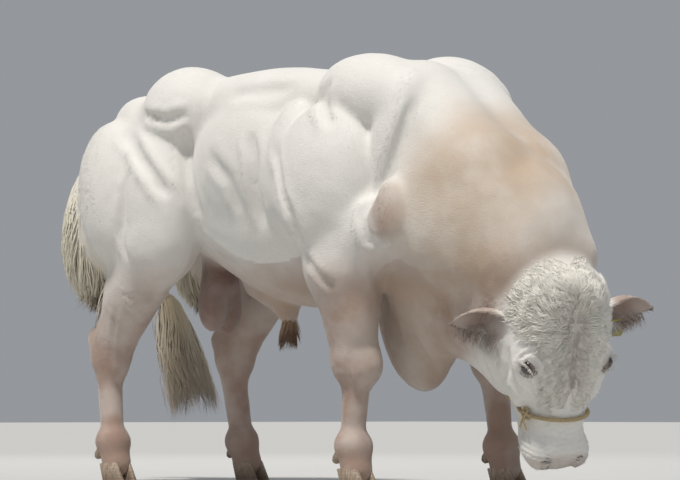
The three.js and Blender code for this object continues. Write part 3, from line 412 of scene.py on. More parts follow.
def fieldOnGrid(groups, axes):
    total = np.full([len(a) for a in axes], farAway, np.float32)
    for join, muscles in groups:
        own = np.full_like(total, farAway)
        for muscle in muscles:
            low, high = muscleReach(muscle)
            window = tuple(slice(*np.searchsorted(axes[i], [low[i], high[i]])) for i in range(3))
            points = np.stack(np.meshgrid(*[axes[i][window[i]] for i in range(3)], indexing="ij"), -1)
            own[window] = smoothMin(own[window], muscleDistance(muscle, points), muscle["blend"])
        total = smoothMin(total, own, join)
    return total


def fieldAt(groups, points):
    points = np.asarray(points, np.float32)
    total = np.full(len(points), farAway, np.float32)
    for join, muscles in groups:
        own = np.full_like(total, farAway)
        for muscle in muscles:
            low, high = muscleReach(muscle)
            near = np.nonzero(((points > low) & (points < high)).all(1))[0]
            if len(near):
                own[near] = smoothMin(own[near], muscleDistance(muscle, points[near]), muscle["blend"])
        total = smoothMin(total, own, join)
    return total


# Eyes, lids, nostrils and the line of the mouth, in the head's frame.
eye = {"radius": 25, "along": 247, "out": -44, "side": 130, "slitLength": 27, "slitHeight": 13}
nostril = {"along": 562, "out": -30, "side": 56, "radii": [26, 24, 13]}


def eyeFrame(side):
    gaze = headWay(0.12, 0.6, side)
    level = headWay(0.62, 0.75, -0.45 * side)
    level = level - gaze * (level @ gaze)
    level /= np.linalg.norm(level)
    rise = np.cross(gaze, level)
    if rise @ headBasis[0] > 0:
        rise = -rise
    centre = onHead(eye["along"], eye["out"], eye["side"] * side)
    return centre, gaze, level, rise


def lidMuscles(side):
    centre, gaze, level, rise = eyeFrame(side)
    parts = []
    for bend, thick, height in [(1, 9.5, 0.46), (-1, 5.5, 0.62)]:
        angles = np.linspace(0, math.pi, 9)
        path = [
            centre
            + level * math.cos(a) * (eye["slitLength"] + 4)
            + rise * bend * math.sin(a) * (eye["slitLength"] + 4) * height
            + gaze * (8 + 12 * math.sin(a))
            for a in angles
        ]
        for i in range(8):
            parts.append(limb("lid", list(path[i]), list(path[i + 1]), thick, thick, 4))
    return parts


mouthPath = []
for step in range(13):
    sweep = -1 + step / 6
    angle = sweep * 105 * degree
    mouthPath.append(
        onHead(574 - 82 * abs(sweep) ** 1.6, -148 - 12 * abs(sweep) + 44 * math.cos(angle), 92 * math.sin(angle))
    )
mouthMuscles = [limb("mouth", list(mouthPath[i]), list(mouthPath[i + 1]), 5, 5, 2) for i in range(12)]


def socketDistance(points):
    nearest = np.full(len(points), farAway, np.float32)
    for side in (1, -1):
        centre, gaze, level, rise = eyeFrame(side)
        local = (points - (centre + gaze * 20)) @ np.stack([level, rise, gaze]).T
        scaled = np.sqrt(((local / np.array([eye["slitLength"], eye["slitHeight"], 24])) ** 2).sum(1))
        nearest = np.minimum(nearest, (scaled - 1) * eye["slitHeight"])
    return nearest


def nostrilDistance(points):
    local = headLocal(points)
    local[:, 2] = np.abs(local[:, 2]) - nostril["side"]
    local[:, 0] -= nostril["along"]
    local[:, 1] -= nostril["out"]
    scaled = np.sqrt(((local / np.array(nostril["radii"])) ** 2).sum(1))
    return (scaled - 1) * min(nostril["radii"])


def hashNoise(points, scale, seed):
    # Smooth value noise: seeded lattice values blended by smoothstep weights.
    grid = points / scale + seed * 17.3
    cell = np.floor(grid).astype(np.int64)
    part = grid - cell
    part = part * part * (3 - 2 * part)
    value = np.zeros(len(points))
    for corner in range(8):
        shift = np.array([corner & 1, corner >> 1 & 1, corner >> 2 & 1])
        key = (cell + shift) @ np.array([73856093, 19349663, 83492791]) + seed * 2654435
        lattice = ((key ^ (key >> 13)) * 1274126177 % 1000003) / 500001.5 - 1
        value += lattice * np.prod(np.where(shift, part, 1 - part), axis=1)
    return value


def smoothStep(low, high, value):
    t = np.clip((value - low) / (high - low), 0, 1)
    return t * t * (3 - 2 * t)


def around(points, centre, radii):
    # 1 at the centre of an ellipsoid, falling smoothly to 0 at its surface.
    reach = np.sqrt((((points - np.array(centre)) / np.array(radii)) ** 2).sum(1))
    return 1 - smoothStep(0.35, 1.0, reach)


# Creases between the muscles, each a line of points on the right side with a width and a depth.
creases = {
    "behindShoulder": ([[145, -347, 1197], [165, -356, 1088], [161, -335, 958], [167, -305, 853]], 20, 13),
    "tricepsFront": ([[276, -365, 1145], [348, -403, 1023], [404, -401, 890], [413, -352, 779]], 17, 14),
    "scapula": ([[819, -237, 1261], [804, -266, 1172], [772, -283, 1079], [735, -290, 987], [712, -317, 936]], 15, 13),
    "shoulderPoint": ([[712, -317, 936], [683, -345, 876], [702, -337, 797], [761, -320, 776]], 15, 13),
    "thighFlank": ([[-237, -325, 1265], [-264, -285, 1161], [-233, -293, 1037], [-209, -268, 910]], 20, 12),
    "thighSplit": ([[-576, -330, 1260], [-445, -366, 1169], [-342, -373, 1070], [-280, -343, 985]], 19, 15),
    "rump": ([[-484, -313, 1309], [-306, -345, 1263], [-208, -313, 1284]], 17, 10),
    "hamstring": ([[-463, -383, 1117], [-486, -391, 996], [-520, -374, 876], [-495, -358, 770]], 15, 12),
    "shoulderTop": ([[501, -315, 1339], [466, -318, 1262], [565, -374, 1159]], 17, 11),
    "elbow": ([[390, -345, 780], [479, -360, 704], [549, -337, 645]], 13, 9),
    "neckFoldFront": ([[862, -177, 607], [898, -160, 512], [968, -151, 442]], 12, 8),
    "neckFoldMiddle": ([[779, -161, 600], [790, -140, 530], [810, -120, 470]], 12, 8),
    "brisketFront": ([[671, -121, 519], [694, -81, 435], [717, -31, 384]], 11, 8),
    "brisket": ([[677, -296, 730], [640, -220, 650], [590, -120, 554], [600, -96, 456]], 13, 10),
    "gaskinHigh": ([[-585, -332, 680], [-497, -303, 650], [-457, -254, 650]], 9, 5),
    "gaskinLow": ([[-594, -316, 617], [-536, -281, 595], [-500, -250, 600]], 9, 5),
    "flank": ([[-253, -254, 868], [-181, -224, 814], [-29, -241, 765]], 15, 9),
    "foreTendon": ([[560, -283, 470], [540, -268, 400], [520, -252, 300], [505, -248, 190]], 8, 4),
    "kneeFold": ([[585, -262, 372], [540, -270, 352], [500, -268, 362]], 7, 3.5),
    "hindTendon": (
        [[-592, -326, 652], [-640, -305, 580], [-673, -290, 513], [-700, -275, 400], [-721, -263, 260]],
        9,
        5,
    ),
    "loin": ([[-53, -288, 1330], [131, -291, 1329], [304, -267, 1328]], 22, 6),
    "rib": ([[-91, -344, 1142], [44, -357, 1031], [65, -322, 914]], 24, 7),
}


headCreases = {
    "browHigh": ([[238, -78, -171], [193, -65, -161], [167, -46, -139], [161, -22, -107], [183, -5, -76]], 7, 6),
    "browLow": ([[234, -58, -161], [206, -43, -153], [194, -30, -130], [208, -17, -105], [238, -11, -88]], 5, 5),
    "innerEye": ([[262, -21, -115], [304, -28, -94], [346, -34, -84]], 9, 7),
    "underEye": ([[255, -92, -170], [308, -93, -158], [342, -74, -133], [359, -58, -99]], 9, 7),
    "cheekFront": ([[134, -126, -178], [198, -127, -182], [257, -109, -171], [330, -134, -164]], 13, 11),
    "cheekBack": ([[210, -235, -214], [249, -230, -210], [311, -215, -189], [350, -215, -160]], 13, 8),
    "noseSide": ([[330, -20, -62], [400, -24, -66], [450, -30, -72]], 10, 4),
    "bandFold": ([[400, -60, -100], [408, -30, -60], [410, -24, 0]], 7, 4),
}


def creaseDepth(points, lines, mirror):
    # A groove with a soft lip: depth (exp(-(d/w)^2) - 0.3 exp(-((d - 2.1 w)/w)^2)), d from the line.
    total = np.zeros(len(points))
    for line, width, depth in lines.values():
        for turned in (np.ones(3), np.array(mirror)):
            path = np.array(line, float) * turned
            near = np.nonzero(((points > path.min(0) - 4 * width) & (points < path.max(0) + 4 * width)).all(1))[0]
            if not len(near):
                continue
            local, nearest, reach = points[near], np.full(len(near), 1e6), np.zeros(len(near))
            for k in range(len(path) - 1):
                axis = path[k + 1] - path[k]
                t = np.clip((local - path[k]) @ axis / (axis @ axis), 0, 1)
                gap = np.linalg.norm(local - path[k] - t[:, None] * axis, axis=1)
                reach = np.where(gap < nearest, (k + t) / (len(path) - 1), reach)
                nearest = np.minimum(nearest, gap)
            fade = smoothStep(0, 0.22, reach) * smoothStep(1, 0.78, reach)
            lip = 0.3 * np.exp(-(((nearest - 2.1 * width) / width) ** 2))
            total[near] += depth * fade * (np.exp(-((nearest / width) ** 2)) - lip)
    return total


def wrinkles(points):
    # Folds that the loose skin makes, in millimetres, added to the body field.
    local = headLocal(points)
    wander = 9 * hashNoise(points, 45, 3)
    fold = np.zeros(len(points))
    nose = smoothStep(425, 450, local[:, 0]) * smoothStep(575, 530, local[:, 0]) * smoothStep(-175, -120, local[:, 1])
    fold += 1.5 * nose * np.sin((local[:, 0] + wander * 1.3 + 0.12 * np.abs(local[:, 2])) * 2 * math.pi / 17)
    knee = around(points, [530, -250, 350], [130, 120, 110]) + around(points, [-700, -270, 480], [130, 120, 130])
    fold += 1.2 * knee * np.sin((points[:, 2] + 0.4 * points[:, 0] + wander) * 2 * math.pi / 24)
    neckSide = around(points, [1010, -200, 600], [200, 220, 200])
    fold += 1.3 * neckSide * np.sin((points[:, 0] * 0.72 - points[:, 2] * 0.5 + wander * 2) * 2 * math.pi / 42)
    gaskin = around(points, [-560, -300, 640], [150, 130, 130])
    fold += 2.2 * gaskin * np.sin((points[:, 0] * 0.5 + points[:, 2] * 0.86 + wander) * 2 * math.pi / 26)
    brisket = around(points, [600, -60, 520], [190, 140, 230])
    fold += 1.8 * brisket * np.sin((points[:, 0] + 0.3 * points[:, 2] + wander * 2) * 2 * math.pi / 38)
    fold += 2.6 * hashNoise(points, 120, 1) + 0.9 * hashNoise(points, 34, 2)
    middle = smoothStep(26, 4, np.abs(local[:, 2]))
    middle = middle * smoothStep(20, 90, local[:, 0]) * smoothStep(360, 300, local[:, 0])
    fold += 7.0 * middle * smoothStep(-90, -40, local[:, 1])
    return fold + 1.65 * creaseDepth(points, creases, [1, -1, 1]) + 1.3 * creaseDepth(local, headCreases, [1, 1, -1])


def skinField(points):
    value = fieldAt(bodyGroups, points) + coatDepth
    nearHead = np.nonzero((np.abs(headLocal(points) - [320, -120, 0]) < [360, 180, 240]).all(1))[0]
    if len(nearHead):
        local = points[nearHead]
        inner = value[nearHead]
        inner = -smoothMin(-inner, socketDistance(local), 5)
        for side in (1, -1):
            inner = smoothMin(inner, fieldAt([(0, lidMuscles(side))], local), 5)
        inner = -smoothMin(-inner, nostrilDistance(local), 8)
        inner = -smoothMin(-inner, fieldAt([(0, mouthMuscles)], local), 6)
        value[nearHead] = inner
    return value + wrinkles(points)


def gradientOf(field, points, step=2.5):
    slopes = []
    for axis in range(3):
        shift = np.zeros(3)
        shift[axis] = step
        slopes.append((field(points + shift) - field(points - shift)) / (2 * step))
    return np.stack(slopes, 1)


def ontoField(field, points, rounds=3, most=9.0):
    # Newton steps along the gradient, each at most a few millimetres.
    for _ in range(rounds):
        slope = gradientOf(field, points)
        length = (slope**2).sum(1) + 1e-6
        move = -(field(points) / length)[:, None] * slope
        size = np.linalg.norm(move, axis=1, keepdims=True)
        points = points + move * np.minimum(1, most / (size + 1e-9))
    return points


def surfaceNets(values, axes):
    # One vertex in each cell that the surface crosses, at the mean of its edge crossings;
    # one quad round each grid edge that the surface crosses.
    inside = values < 0
    cells = [n - 1 for n in values.shape]
    total = np.zeros(cells + [3], np.float32)
    count = np.zeros(cells, np.float32)
    for axis in range(3):
        first = [slice(None)] * 3
        second = [slice(None)] * 3
        first[axis], second[axis] = slice(0, -1), slice(1, None)
        v0, v1 = values[tuple(first)], values[tuple(second)]
        crossing = (v0 < 0) != (v1 < 0)
        t = np.where(crossing, v0 / (v0 - v1 + 1e-12), 0)
        parts = []
        for other in range(3):
            shape = [-1 if i == other else 1 for i in range(3)]
            if other == axis:
                low, high = axes[other][:-1].reshape(shape), axes[other][1:].reshape(shape)
                parts.append(low + (high - low) * t)
            else:
                parts.append(np.broadcast_to(axes[other].reshape(shape), crossing.shape))
        place = np.stack(parts, -1) * crossing[..., None]
        others = [i for i in range(3) if i != axis]
        for a in (0, 1):
            for b in (0, 1):
                source = [slice(None)] * 3
                source[others[0]] = slice(a, crossing.shape[others[0]] - 1 + a)
                source[others[1]] = slice(b, crossing.shape[others[1]] - 1 + b)
                total += place[tuple(source)]
                count += crossing[tuple(source)]
    used = count > 0
    number = np.full(used.shape, -1, np.int64)
    number[used] = np.arange(used.sum())
    vertices = total[used] / count[used][:, None]
    quads = []
    for axis in range(3):
        first = [slice(1, -1)] * 3
        second = [slice(1, -1)] * 3
        first[axis], second[axis] = slice(0, -1), slice(1, None)
        start = inside[tuple(first)]
        crossing = start != inside[tuple(second)]
        base = np.argwhere(crossing)
        others = [i for i in range(3) if i != axis]
        base[:, others] += 1
        corners = []
        for a, b in ((1, 1), (0, 1), (0, 0), (1, 0)):
            cell = base.copy()
            cell[:, others[0]] -= a
            cell[:, others[1]] -= b
            corners.append(number[cell[:, 0], cell[:, 1], cell[:, 2]])
        quad = np.stack(corners, 1)
        outward = start[crossing]
        if axis == 1:
            outward = ~outward
        quad[~outward] = quad[~outward][:, ::-1]
        quads.append(quad)
    return vertices, np.concatenate(quads)


def newMesh(name, vertices, faces, smooth=True):
    mesh = bpy.data.meshes.new(name)
    mesh.from_pydata(vertices.tolist(), [], faces.tolist() if hasattr(faces, "tolist") else faces)
    mesh.update()
    if smooth:
        mesh.shade_smooth()
    made = bpy.data.objects.new(name, mesh)
    bpy.context.scene.collection.objects.link(made)
    return made


def gridFaces(rows, cols):
    # Four-sided faces between the rows of a grid whose columns close in a ring.
    i, j = np.meshgrid(np.arange(rows - 1), np.arange(cols), indexing="ij")
    a, b = i * cols + j, i * cols + (j + 1) % cols
    return np.stack([a, b, b + cols, a + cols], -1).reshape(-1, 4)


def turnFacesOut(mesh, merge=True):
    # Merges the poles' doubled points where asked, then points every face outwards.
    bm = bmesh.new()
    bm.from_mesh(mesh)
    if merge:
        bmesh.ops.remove_doubles(bm, verts=bm.verts, dist=1e-6)
    bmesh.ops.recalc_face_normals(bm, faces=bm.faces)
    bm.to_mesh(mesh)
    bm.free()


def meshPoints(mesh):
    flat = np.empty(len(mesh.vertices) * 3, np.float32)
    mesh.vertices.foreach_get("co", flat)
    return flat.reshape(-1, 3).astype(np.float64)


def meshNormals(mesh):
    flat = np.empty(len(mesh.vertices) * 3, np.float32)
    mesh.vertices.foreach_get("normal", flat)
    return flat.reshape(-1, 3).astype(np.float64)


def setFloats(mesh, name, values):
    attribute = mesh.attributes.new(name, "FLOAT", "POINT")
    attribute.data.foreach_set("value", np.asarray(values, np.float32))


skinSpec = {"cell": 13.5, "low": [-1230, -480, -10], "high": [1460, 480, 1530]}


def refineNear(made, keep):
    # Splits the faces whose centre the test keeps, so the small forms of the head have room.
    bm = bmesh.new()
    bm.from_mesh(made.data)
    centres = np.array([face.calc_center_median() for face in bm.faces])
    chosen = keep(centres)
    edges = {edge for face, wanted in zip(bm.faces, chosen) if wanted for edge in face.edges}
    bmesh.ops.subdivide_edges(bm, edges=list(edges), cuts=1, use_grid_fill=True)
    bm.to_mesh(made.data)
    bm.free()


def makeSkin(spec):
    axes = [np.arange(spec["low"][i], spec["high"][i], spec["cell"], dtype=np.float32) for i in range(3)]
    values = fieldOnGrid(bodyGroups, axes) + coatDepth
    vertices, quads = surfaceNets(values, axes)
    print("skin: grid", values.shape, "vertices", len(vertices))
    made = newMesh("skin", vertices, quads)

    def headNear(points):
        return (np.abs(headLocal(points) - [290, -140, 0]) < [370, 190, 220]).all(1)

    def featureNear(points):
        local = headLocal(points)
        side = np.abs(local[:, 2])
        eyePlace = np.stack([local[:, 0] - eye["along"], local[:, 1] - eye["out"], side - eye["side"]], 1)
        eyes = np.linalg.norm(eyePlace, axis=1) < 52
        mouth = (local[:, 0] > 500) & (local[:, 1] < -60) & (local[:, 1] > -200)
        nose = np.linalg.norm(np.stack([local[:, 0] - 562, local[:, 1] + 34, side - 56], 1), axis=1) < 44
        return eyes | nose | mouth

    refineNear(made, headNear)
    refineNear(made, featureNear)
    points = ontoField(skinField, meshPoints(made.data))
    made.data.vertices.foreach_set("co", points.astype(np.float32).ravel())
    made.data.update()
    made.data.shade_smooth()
    return made


skin = makeSkin(skinSpec)
print("skin traced:", len(skin.data.vertices), "vertices")


# Ears: a leaf with a C-shaped section, rolled tighter at the root and open in front.
ear = {"length": 186, "halfWidth": 47, "wall": 9, "rings": 40, "arc": 21}
earRight = {
    "side": -1,
    "root": onHead(146, -142, -148),
    "heading": headWay(-0.02, -0.3, -1),
    "opening": headWay(0.45, 1, -0.2),
}
earLeft = {
    "side": 1,
    "root": onHead(126, -124, 146),
    "heading": headWay(-0.1, -0.05, 1),
    "opening": headWay(0.45, 1, 0.2),
}


def earAxes(place):
    along = place["heading"]
    opening = place["opening"] - along * (place["opening"] @ along)
    opening = opening / np.linalg.norm(opening)
    return along, opening, np.cross(along, opening)


def earSheet(place, spec, t, roll, inset):
    # Point of the ear at t from root to tip and roll -1..1 across; the leaf swells and narrows again.
    along, opening, across = earAxes(place)
    leaf = np.sin(math.pi * (0.16 + 0.8 * t) ** 0.85)
    width = spec["halfWidth"] * (0.3 + 0.7 * leaf) * np.where(t > 0.85, np.sqrt(np.maximum(1.02 - t, 0) / 0.17), 1)
    width = width * (1 + 0.035 * np.sin(9 * t + 5 * roll)) - inset * (1 - 0.5 * t)
    width = np.maximum(width, 1.5)
    angle = roll * (128 - 62 * t) * degree
    centre = place["root"] + along * (spec["length"] * t)[..., None] - opening * (18 * np.sin(math.pi * t))[..., None]
    return centre + across * (np.sin(angle) * width)[..., None] - opening * (np.cos(angle) * width * 0.72)[..., None]


def makeEar(name, place, spec):
    # Outer and inner sheets of one closed shell: each ring runs out over one and back over the other.
    t = np.linspace(-0.14, 1, spec["rings"])[:, None] * np.ones((1, spec["arc"]))
    roll = np.linspace(-1, 1, spec["arc"])[None, :] * np.ones((spec["rings"], 1))
    tt = np.maximum(t, 0)
    shift = place["heading"] * (np.minimum(t, 0) * spec["length"])[..., None]
    outer = earSheet(place, spec, tt, roll, 0.0) + shift
    inner = earSheet(place, spec, tt, roll, float(spec["wall"])) + shift
    ring = np.concatenate([outer, inner[:, ::-1]], 1)
    count = ring.shape[1]
    vertices = ring.reshape(-1, 3)
    tipPole = ring[-1].mean(0) + place["heading"] * 2
    vertices = np.concatenate([vertices, [ring[0].mean(0)], [tipPole]])
    quads = gridFaces(spec["rings"], count)
    rootPole, tip = len(vertices) - 2, len(vertices) - 1
    k = np.arange(count)
    caps = [[int(rootPole), int((n + 1) % count), int(n)] for n in k]
    last = (spec["rings"] - 1) * count
    caps += [[int(tip), int(last + n), int(last + (n + 1) % count)] for n in k]
    made = newMesh(name, vertices, quads.tolist() + caps)
    turnFacesOut(made.data, merge=False)
    return made


def joinInto(base, pieces, seams):
    # Union, then the vertices near each seam are averaged with their neighbours.
    for piece in pieces:
        union = base.modifiers.new("union", "BOOLEAN")
        union.object = piece
        union.operation = "UNION"
        union.solver = "MANIFOLD"
        bpy.context.view_layer.objects.active = base
        bpy.ops.object.modifier_apply(modifier=union.name)
        bpy.data.objects.remove(piece)
    bm = bmesh.new()
    bm.from_mesh(base.data)
    places = np.array([v.co for v in bm.verts])
    near = np.zeros(len(places), bool)
    for centre, reach in seams:
        near |= np.linalg.norm(places - centre, axis=1) < reach
    chosen = [v for v, wanted in zip(bm.verts, near) if wanted]
    bmesh.ops.triangulate(bm, faces=[f for f in bm.faces if len(f.verts) > 4])
    for _ in range(3):
        bmesh.ops.smooth_vert(bm, verts=chosen, factor=0.5, use_axis_x=True, use_axis_y=True, use_axis_z=True)
    bm.to_mesh(base.data)
    bm.free()
    base.data.shade_smooth()


ears = [makeEar("earRight", earRight, ear), makeEar("earLeft", earLeft, ear)]
joinInto(skin, ears, [(earRight["root"], 62), (earLeft["root"], 62)])
print("ears joined:", len(skin.data.vertices), "vertices,", len(skin.data.polygons), "faces")


# Where the coat changes colour and where shade is painted into it: soft masks round named places, each 0 to 1.
def coatMarksAndShade(points, normals):
    local = headLocal(points)
    height = points[:, 2]
    trunkGap = smoothStep(8, 40, fieldAt([bodyGroups[0]], points))
    headField = fieldAt([(0, headMuscles)], points)
    offHead = smoothStep(12, 50, headField)
    # Pink-tan of the thin-haired skin on the legs, shoulder point, tail root and groin, together with painted shade: it
    # deepens down the legs and under the belly and chest, where the body shades itself.
    pinkSkinAndShade = (0.95 * smoothStep(860, 560, height) * trunkGap + 0.1 * smoothStep(420, 100, height)) * offHead
    pinkSkinAndShade = np.maximum(pinkSkinAndShade, 0.8 * smoothStep(900, 640, height) * offHead * (np.abs(points[:, 1]) < 250))
    pinkSkinAndShade = np.maximum(pinkSkinAndShade, 0.8 * around(points, [775, -330, 880], [90, 90, 130]))
    pinkSkinAndShade = np.maximum(pinkSkinAndShade, 0.8 * around(points, [-1060, -20, 1210], [170, 150, 170]))
    pinkSkinAndShade = np.maximum(pinkSkinAndShade, 0.7 * around(points, [-330, 0, 760], [330, 260, 190]))
    pinkSkinAndShade = np.maximum(pinkSkinAndShade, 0.55 * around(points, [700, 0, 820], [170, 230, 170]))
    side = np.abs(local[:, 2])
    eyePlace = np.stack([local[:, 0] - eye["along"], local[:, 1] - eye["out"], side - eye["side"]], 1)
    # Painted shade round each eye in its socket and down the groove of the forehead's parting.
    socket = 1 - smoothStep(22, 50, np.linalg.norm(eyePlace, axis=1))
    parting = smoothStep(24, 5, side) * smoothStep(60, 105, local[:, 0]) * smoothStep(345, 290, local[:, 0])
    socket = np.maximum(socket, 0.85 * parting * (headField < 25))
    nose = smoothStep(540, 575, local[:, 0] + 0.3 * (local[:, 1] + 100)) * (headField < 20)
    pinkSkinAndShade = np.maximum(pinkSkinAndShade, 0.22 * nose)
    # Buff: the tan along the neck, together with painted shade on the lower neck, the brisket and under the belly.
    buffTanAndShade = 1.0 * around(points, [1010, 0, 900], [360, 620, 470])
    buffTanAndShade = np.maximum(buffTanAndShade, 0.6 * around(points, [700, 0, 560], [300, 420, 280]))
    buffTanAndShade = np.maximum(buffTanAndShade, 0.45 * around(points, [120, 0, 640], [420, 300, 160]))
    cream = 0.8 * around(points, [-940, -240, 850], [310, 330, 430])
    cream = np.maximum(cream, 0.8 * around(points, [-880, 240, 850], [310, 330, 430]))
    # The scrotum's reddish skin, darkened as painted shade.
    redSkinAndShade = 1 - smoothStep(0, 60, fieldAt([(0, underMuscles)], points) + smoothStep(720, 830, height) * 60)
    # The ear's inner skin in each cup, darkened as painted shade inside the cup.
    earCupSkinAndShade = np.zeros(len(points))
    for place in (earRight, earLeft):
        along, opening, across = earAxes(place)
        apart = points - place["root"]
        reach, lift = apart @ along, apart @ opening
        near = (reach > 5) & (reach < 190) & (np.abs(apart @ across) < 46) & (lift > -60) & (lift < 25)
        cup = near * smoothStep(0.15, 0.6, normals @ opening) * smoothStep(46, 30, np.abs(apart @ across))
        earCupSkinAndShade = np.maximum(earCupSkinAndShade, cup * smoothStep(5, 40, reach) * smoothStep(165, 95, reach))
    return {
        "pinkSkinAndShade": pinkSkinAndShade,
        "buffTanAndShade": buffTanAndShade,
        "cream": cream,
        "redSkinAndShade": redSkinAndShade,
        "earCupSkinAndShade": earCupSkinAndShade,
        "socket": socket,
        "nose": nose,
    }


skinMm = meshPoints(skin.data)
for maskName, mask in coatMarksAndShade(skinMm, meshNormals(skin.data)).items():
    setFloats(skin.data, maskName, mask)


# The coat: every tuft is a thin closed blade that leaves the skin and follows the coat's lie.
def unit(v):
    return v / (np.linalg.norm(v, axis=-1, keepdims=True) + 1e-9)


def meshTriangles(mesh):
    mesh.calc_loop_triangles()
    flat = np.empty(len(mesh.loop_triangles) * 3, np.int32)
    mesh.loop_triangles.foreach_get("vertices", flat)
    return flat.reshape(-1, 3)


skinNormals = meshNormals(skin.data)
skinTriangles = meshTriangles(skin.data)
triangleCentres = skinMm[skinTriangles].mean(1)
edgeA = skinMm[skinTriangles[:, 1]] - skinMm[skinTriangles[:, 0]]
edgeB = skinMm[skinTriangles[:, 2]] - skinMm[skinTriangles[:, 0]]
triangleAreas = np.linalg.norm(np.cross(edgeA, edgeB), axis=1) / 2


def sampleSkin(count, weight, seed):
    # Roots spread evenly over the skin's triangles, as densely as the weight asks.
    rng = np.random.default_rng(seed)
    share = np.cumsum(triangleAreas * weight)
    picks = (np.arange(count) + rng.random(count)) / count * share[-1]
    chosen = np.searchsorted(share, picks).clip(0, len(share) - 1)
    u, v = rng.random(count), rng.random(count)
    over = u + v > 1
    u[over], v[over] = 1 - u[over], 1 - v[over]
    corners = skinTriangles[chosen]
    weights = np.stack([1 - u - v, u, v], 1)[..., None]
    roots = (skinMm[corners] * weights).sum(1)
    normals = unit((skinNormals[corners] * weights).sum(1))
    return roots, normals


def lieOf(points):
    # Down and back on the trunk, down the legs, along the neck, and away from the parting on the head.
    local = headLocal(points)
    low = smoothStep(720, 560, points[:, 2])[:, None]
    lie = np.array([-1.0, 0, -0.42]) * (1 - low) + np.array([-0.2, 0, -1.0]) * low
    neck = smoothStep(820, 960, points[:, 0])[:, None]
    lie = lie * (1 - neck) + np.array([-0.75, 0, 0.25]) * neck
    side = np.tanh(local[:, 2] / 18)
    crown = smoothStep(175, 5, local[:, 0])
    cheek = smoothStep(60, 150, np.abs(local[:, 2]) + np.maximum(-local[:, 1] - 60, 0))
    along = 0.42 - 1.5 * crown + 0.7 * cheek
    spread = side * (1 - 0.55 * cheek)
    back = -0.25 - 0.5 * cheek
    face = np.stack([along, back, spread], 1) @ headBasis
    inHead = smoothStep(30, 5, fieldAt([(0, headMuscles)], points))[:, None]
    lie = unit(lie) * (1 - inHead) + unit(face) * inHead
    return unit(lie)


def cylinderMap(points, centre, axis, up, low, high, share=(0.0, 1.0)):
    # Place of each root on the skin unwrapped round an axis: turn round it, and way along it.
    axis, up = unit(np.array(axis, float)), np.array(up, float)
    up = unit(up - axis * (up @ axis))
    apart = points - np.array(centre, float)
    turn = np.arctan2(apart @ np.cross(axis, up), apart @ up) / (2 * math.pi) + 0.5
    way = np.clip((apart @ axis - low) / (high - low), 0, 1)
    return np.stack([share[0] + (share[1] - share[0]) * (0.01 + 0.98 * turn), 0.01 + 0.98 * way], 1)


def trunkMap(points):
    return cylinderMap(points, [0, 0, 1000], [1, 0, 0], [0, 0, -1], -1200, 1300)


def headMap(points):
    return cylinderMap(points, onHead(280, -150, 0), headBasis[0], -headBasis[1], -420, 380)


def legMap(points):
    mapped = np.zeros((len(points), 2))
    for number, leg in enumerate(legs.values()):
        y = -leg["foot"][1] if leg is legs["hindLeft"] else leg["foot"][1]
        near = (np.sign(points[:, 1]) == np.sign(y)) & ((points[:, 0] > 100) == (leg["foot"][0] > 100))
        share = (number / 4 + 0.005, number / 4 + 0.245)
        centre = [leg["fetlock"][0], y, 0]
        mapped[near] = cylinderMap(points[near], centre, [0, 0, 1], [-1, 0, 0], 0, 1300, share)
    return mapped


coatPieces = []
patchRadius = 0.0015  # half of each tuft's patch on the OFBake map


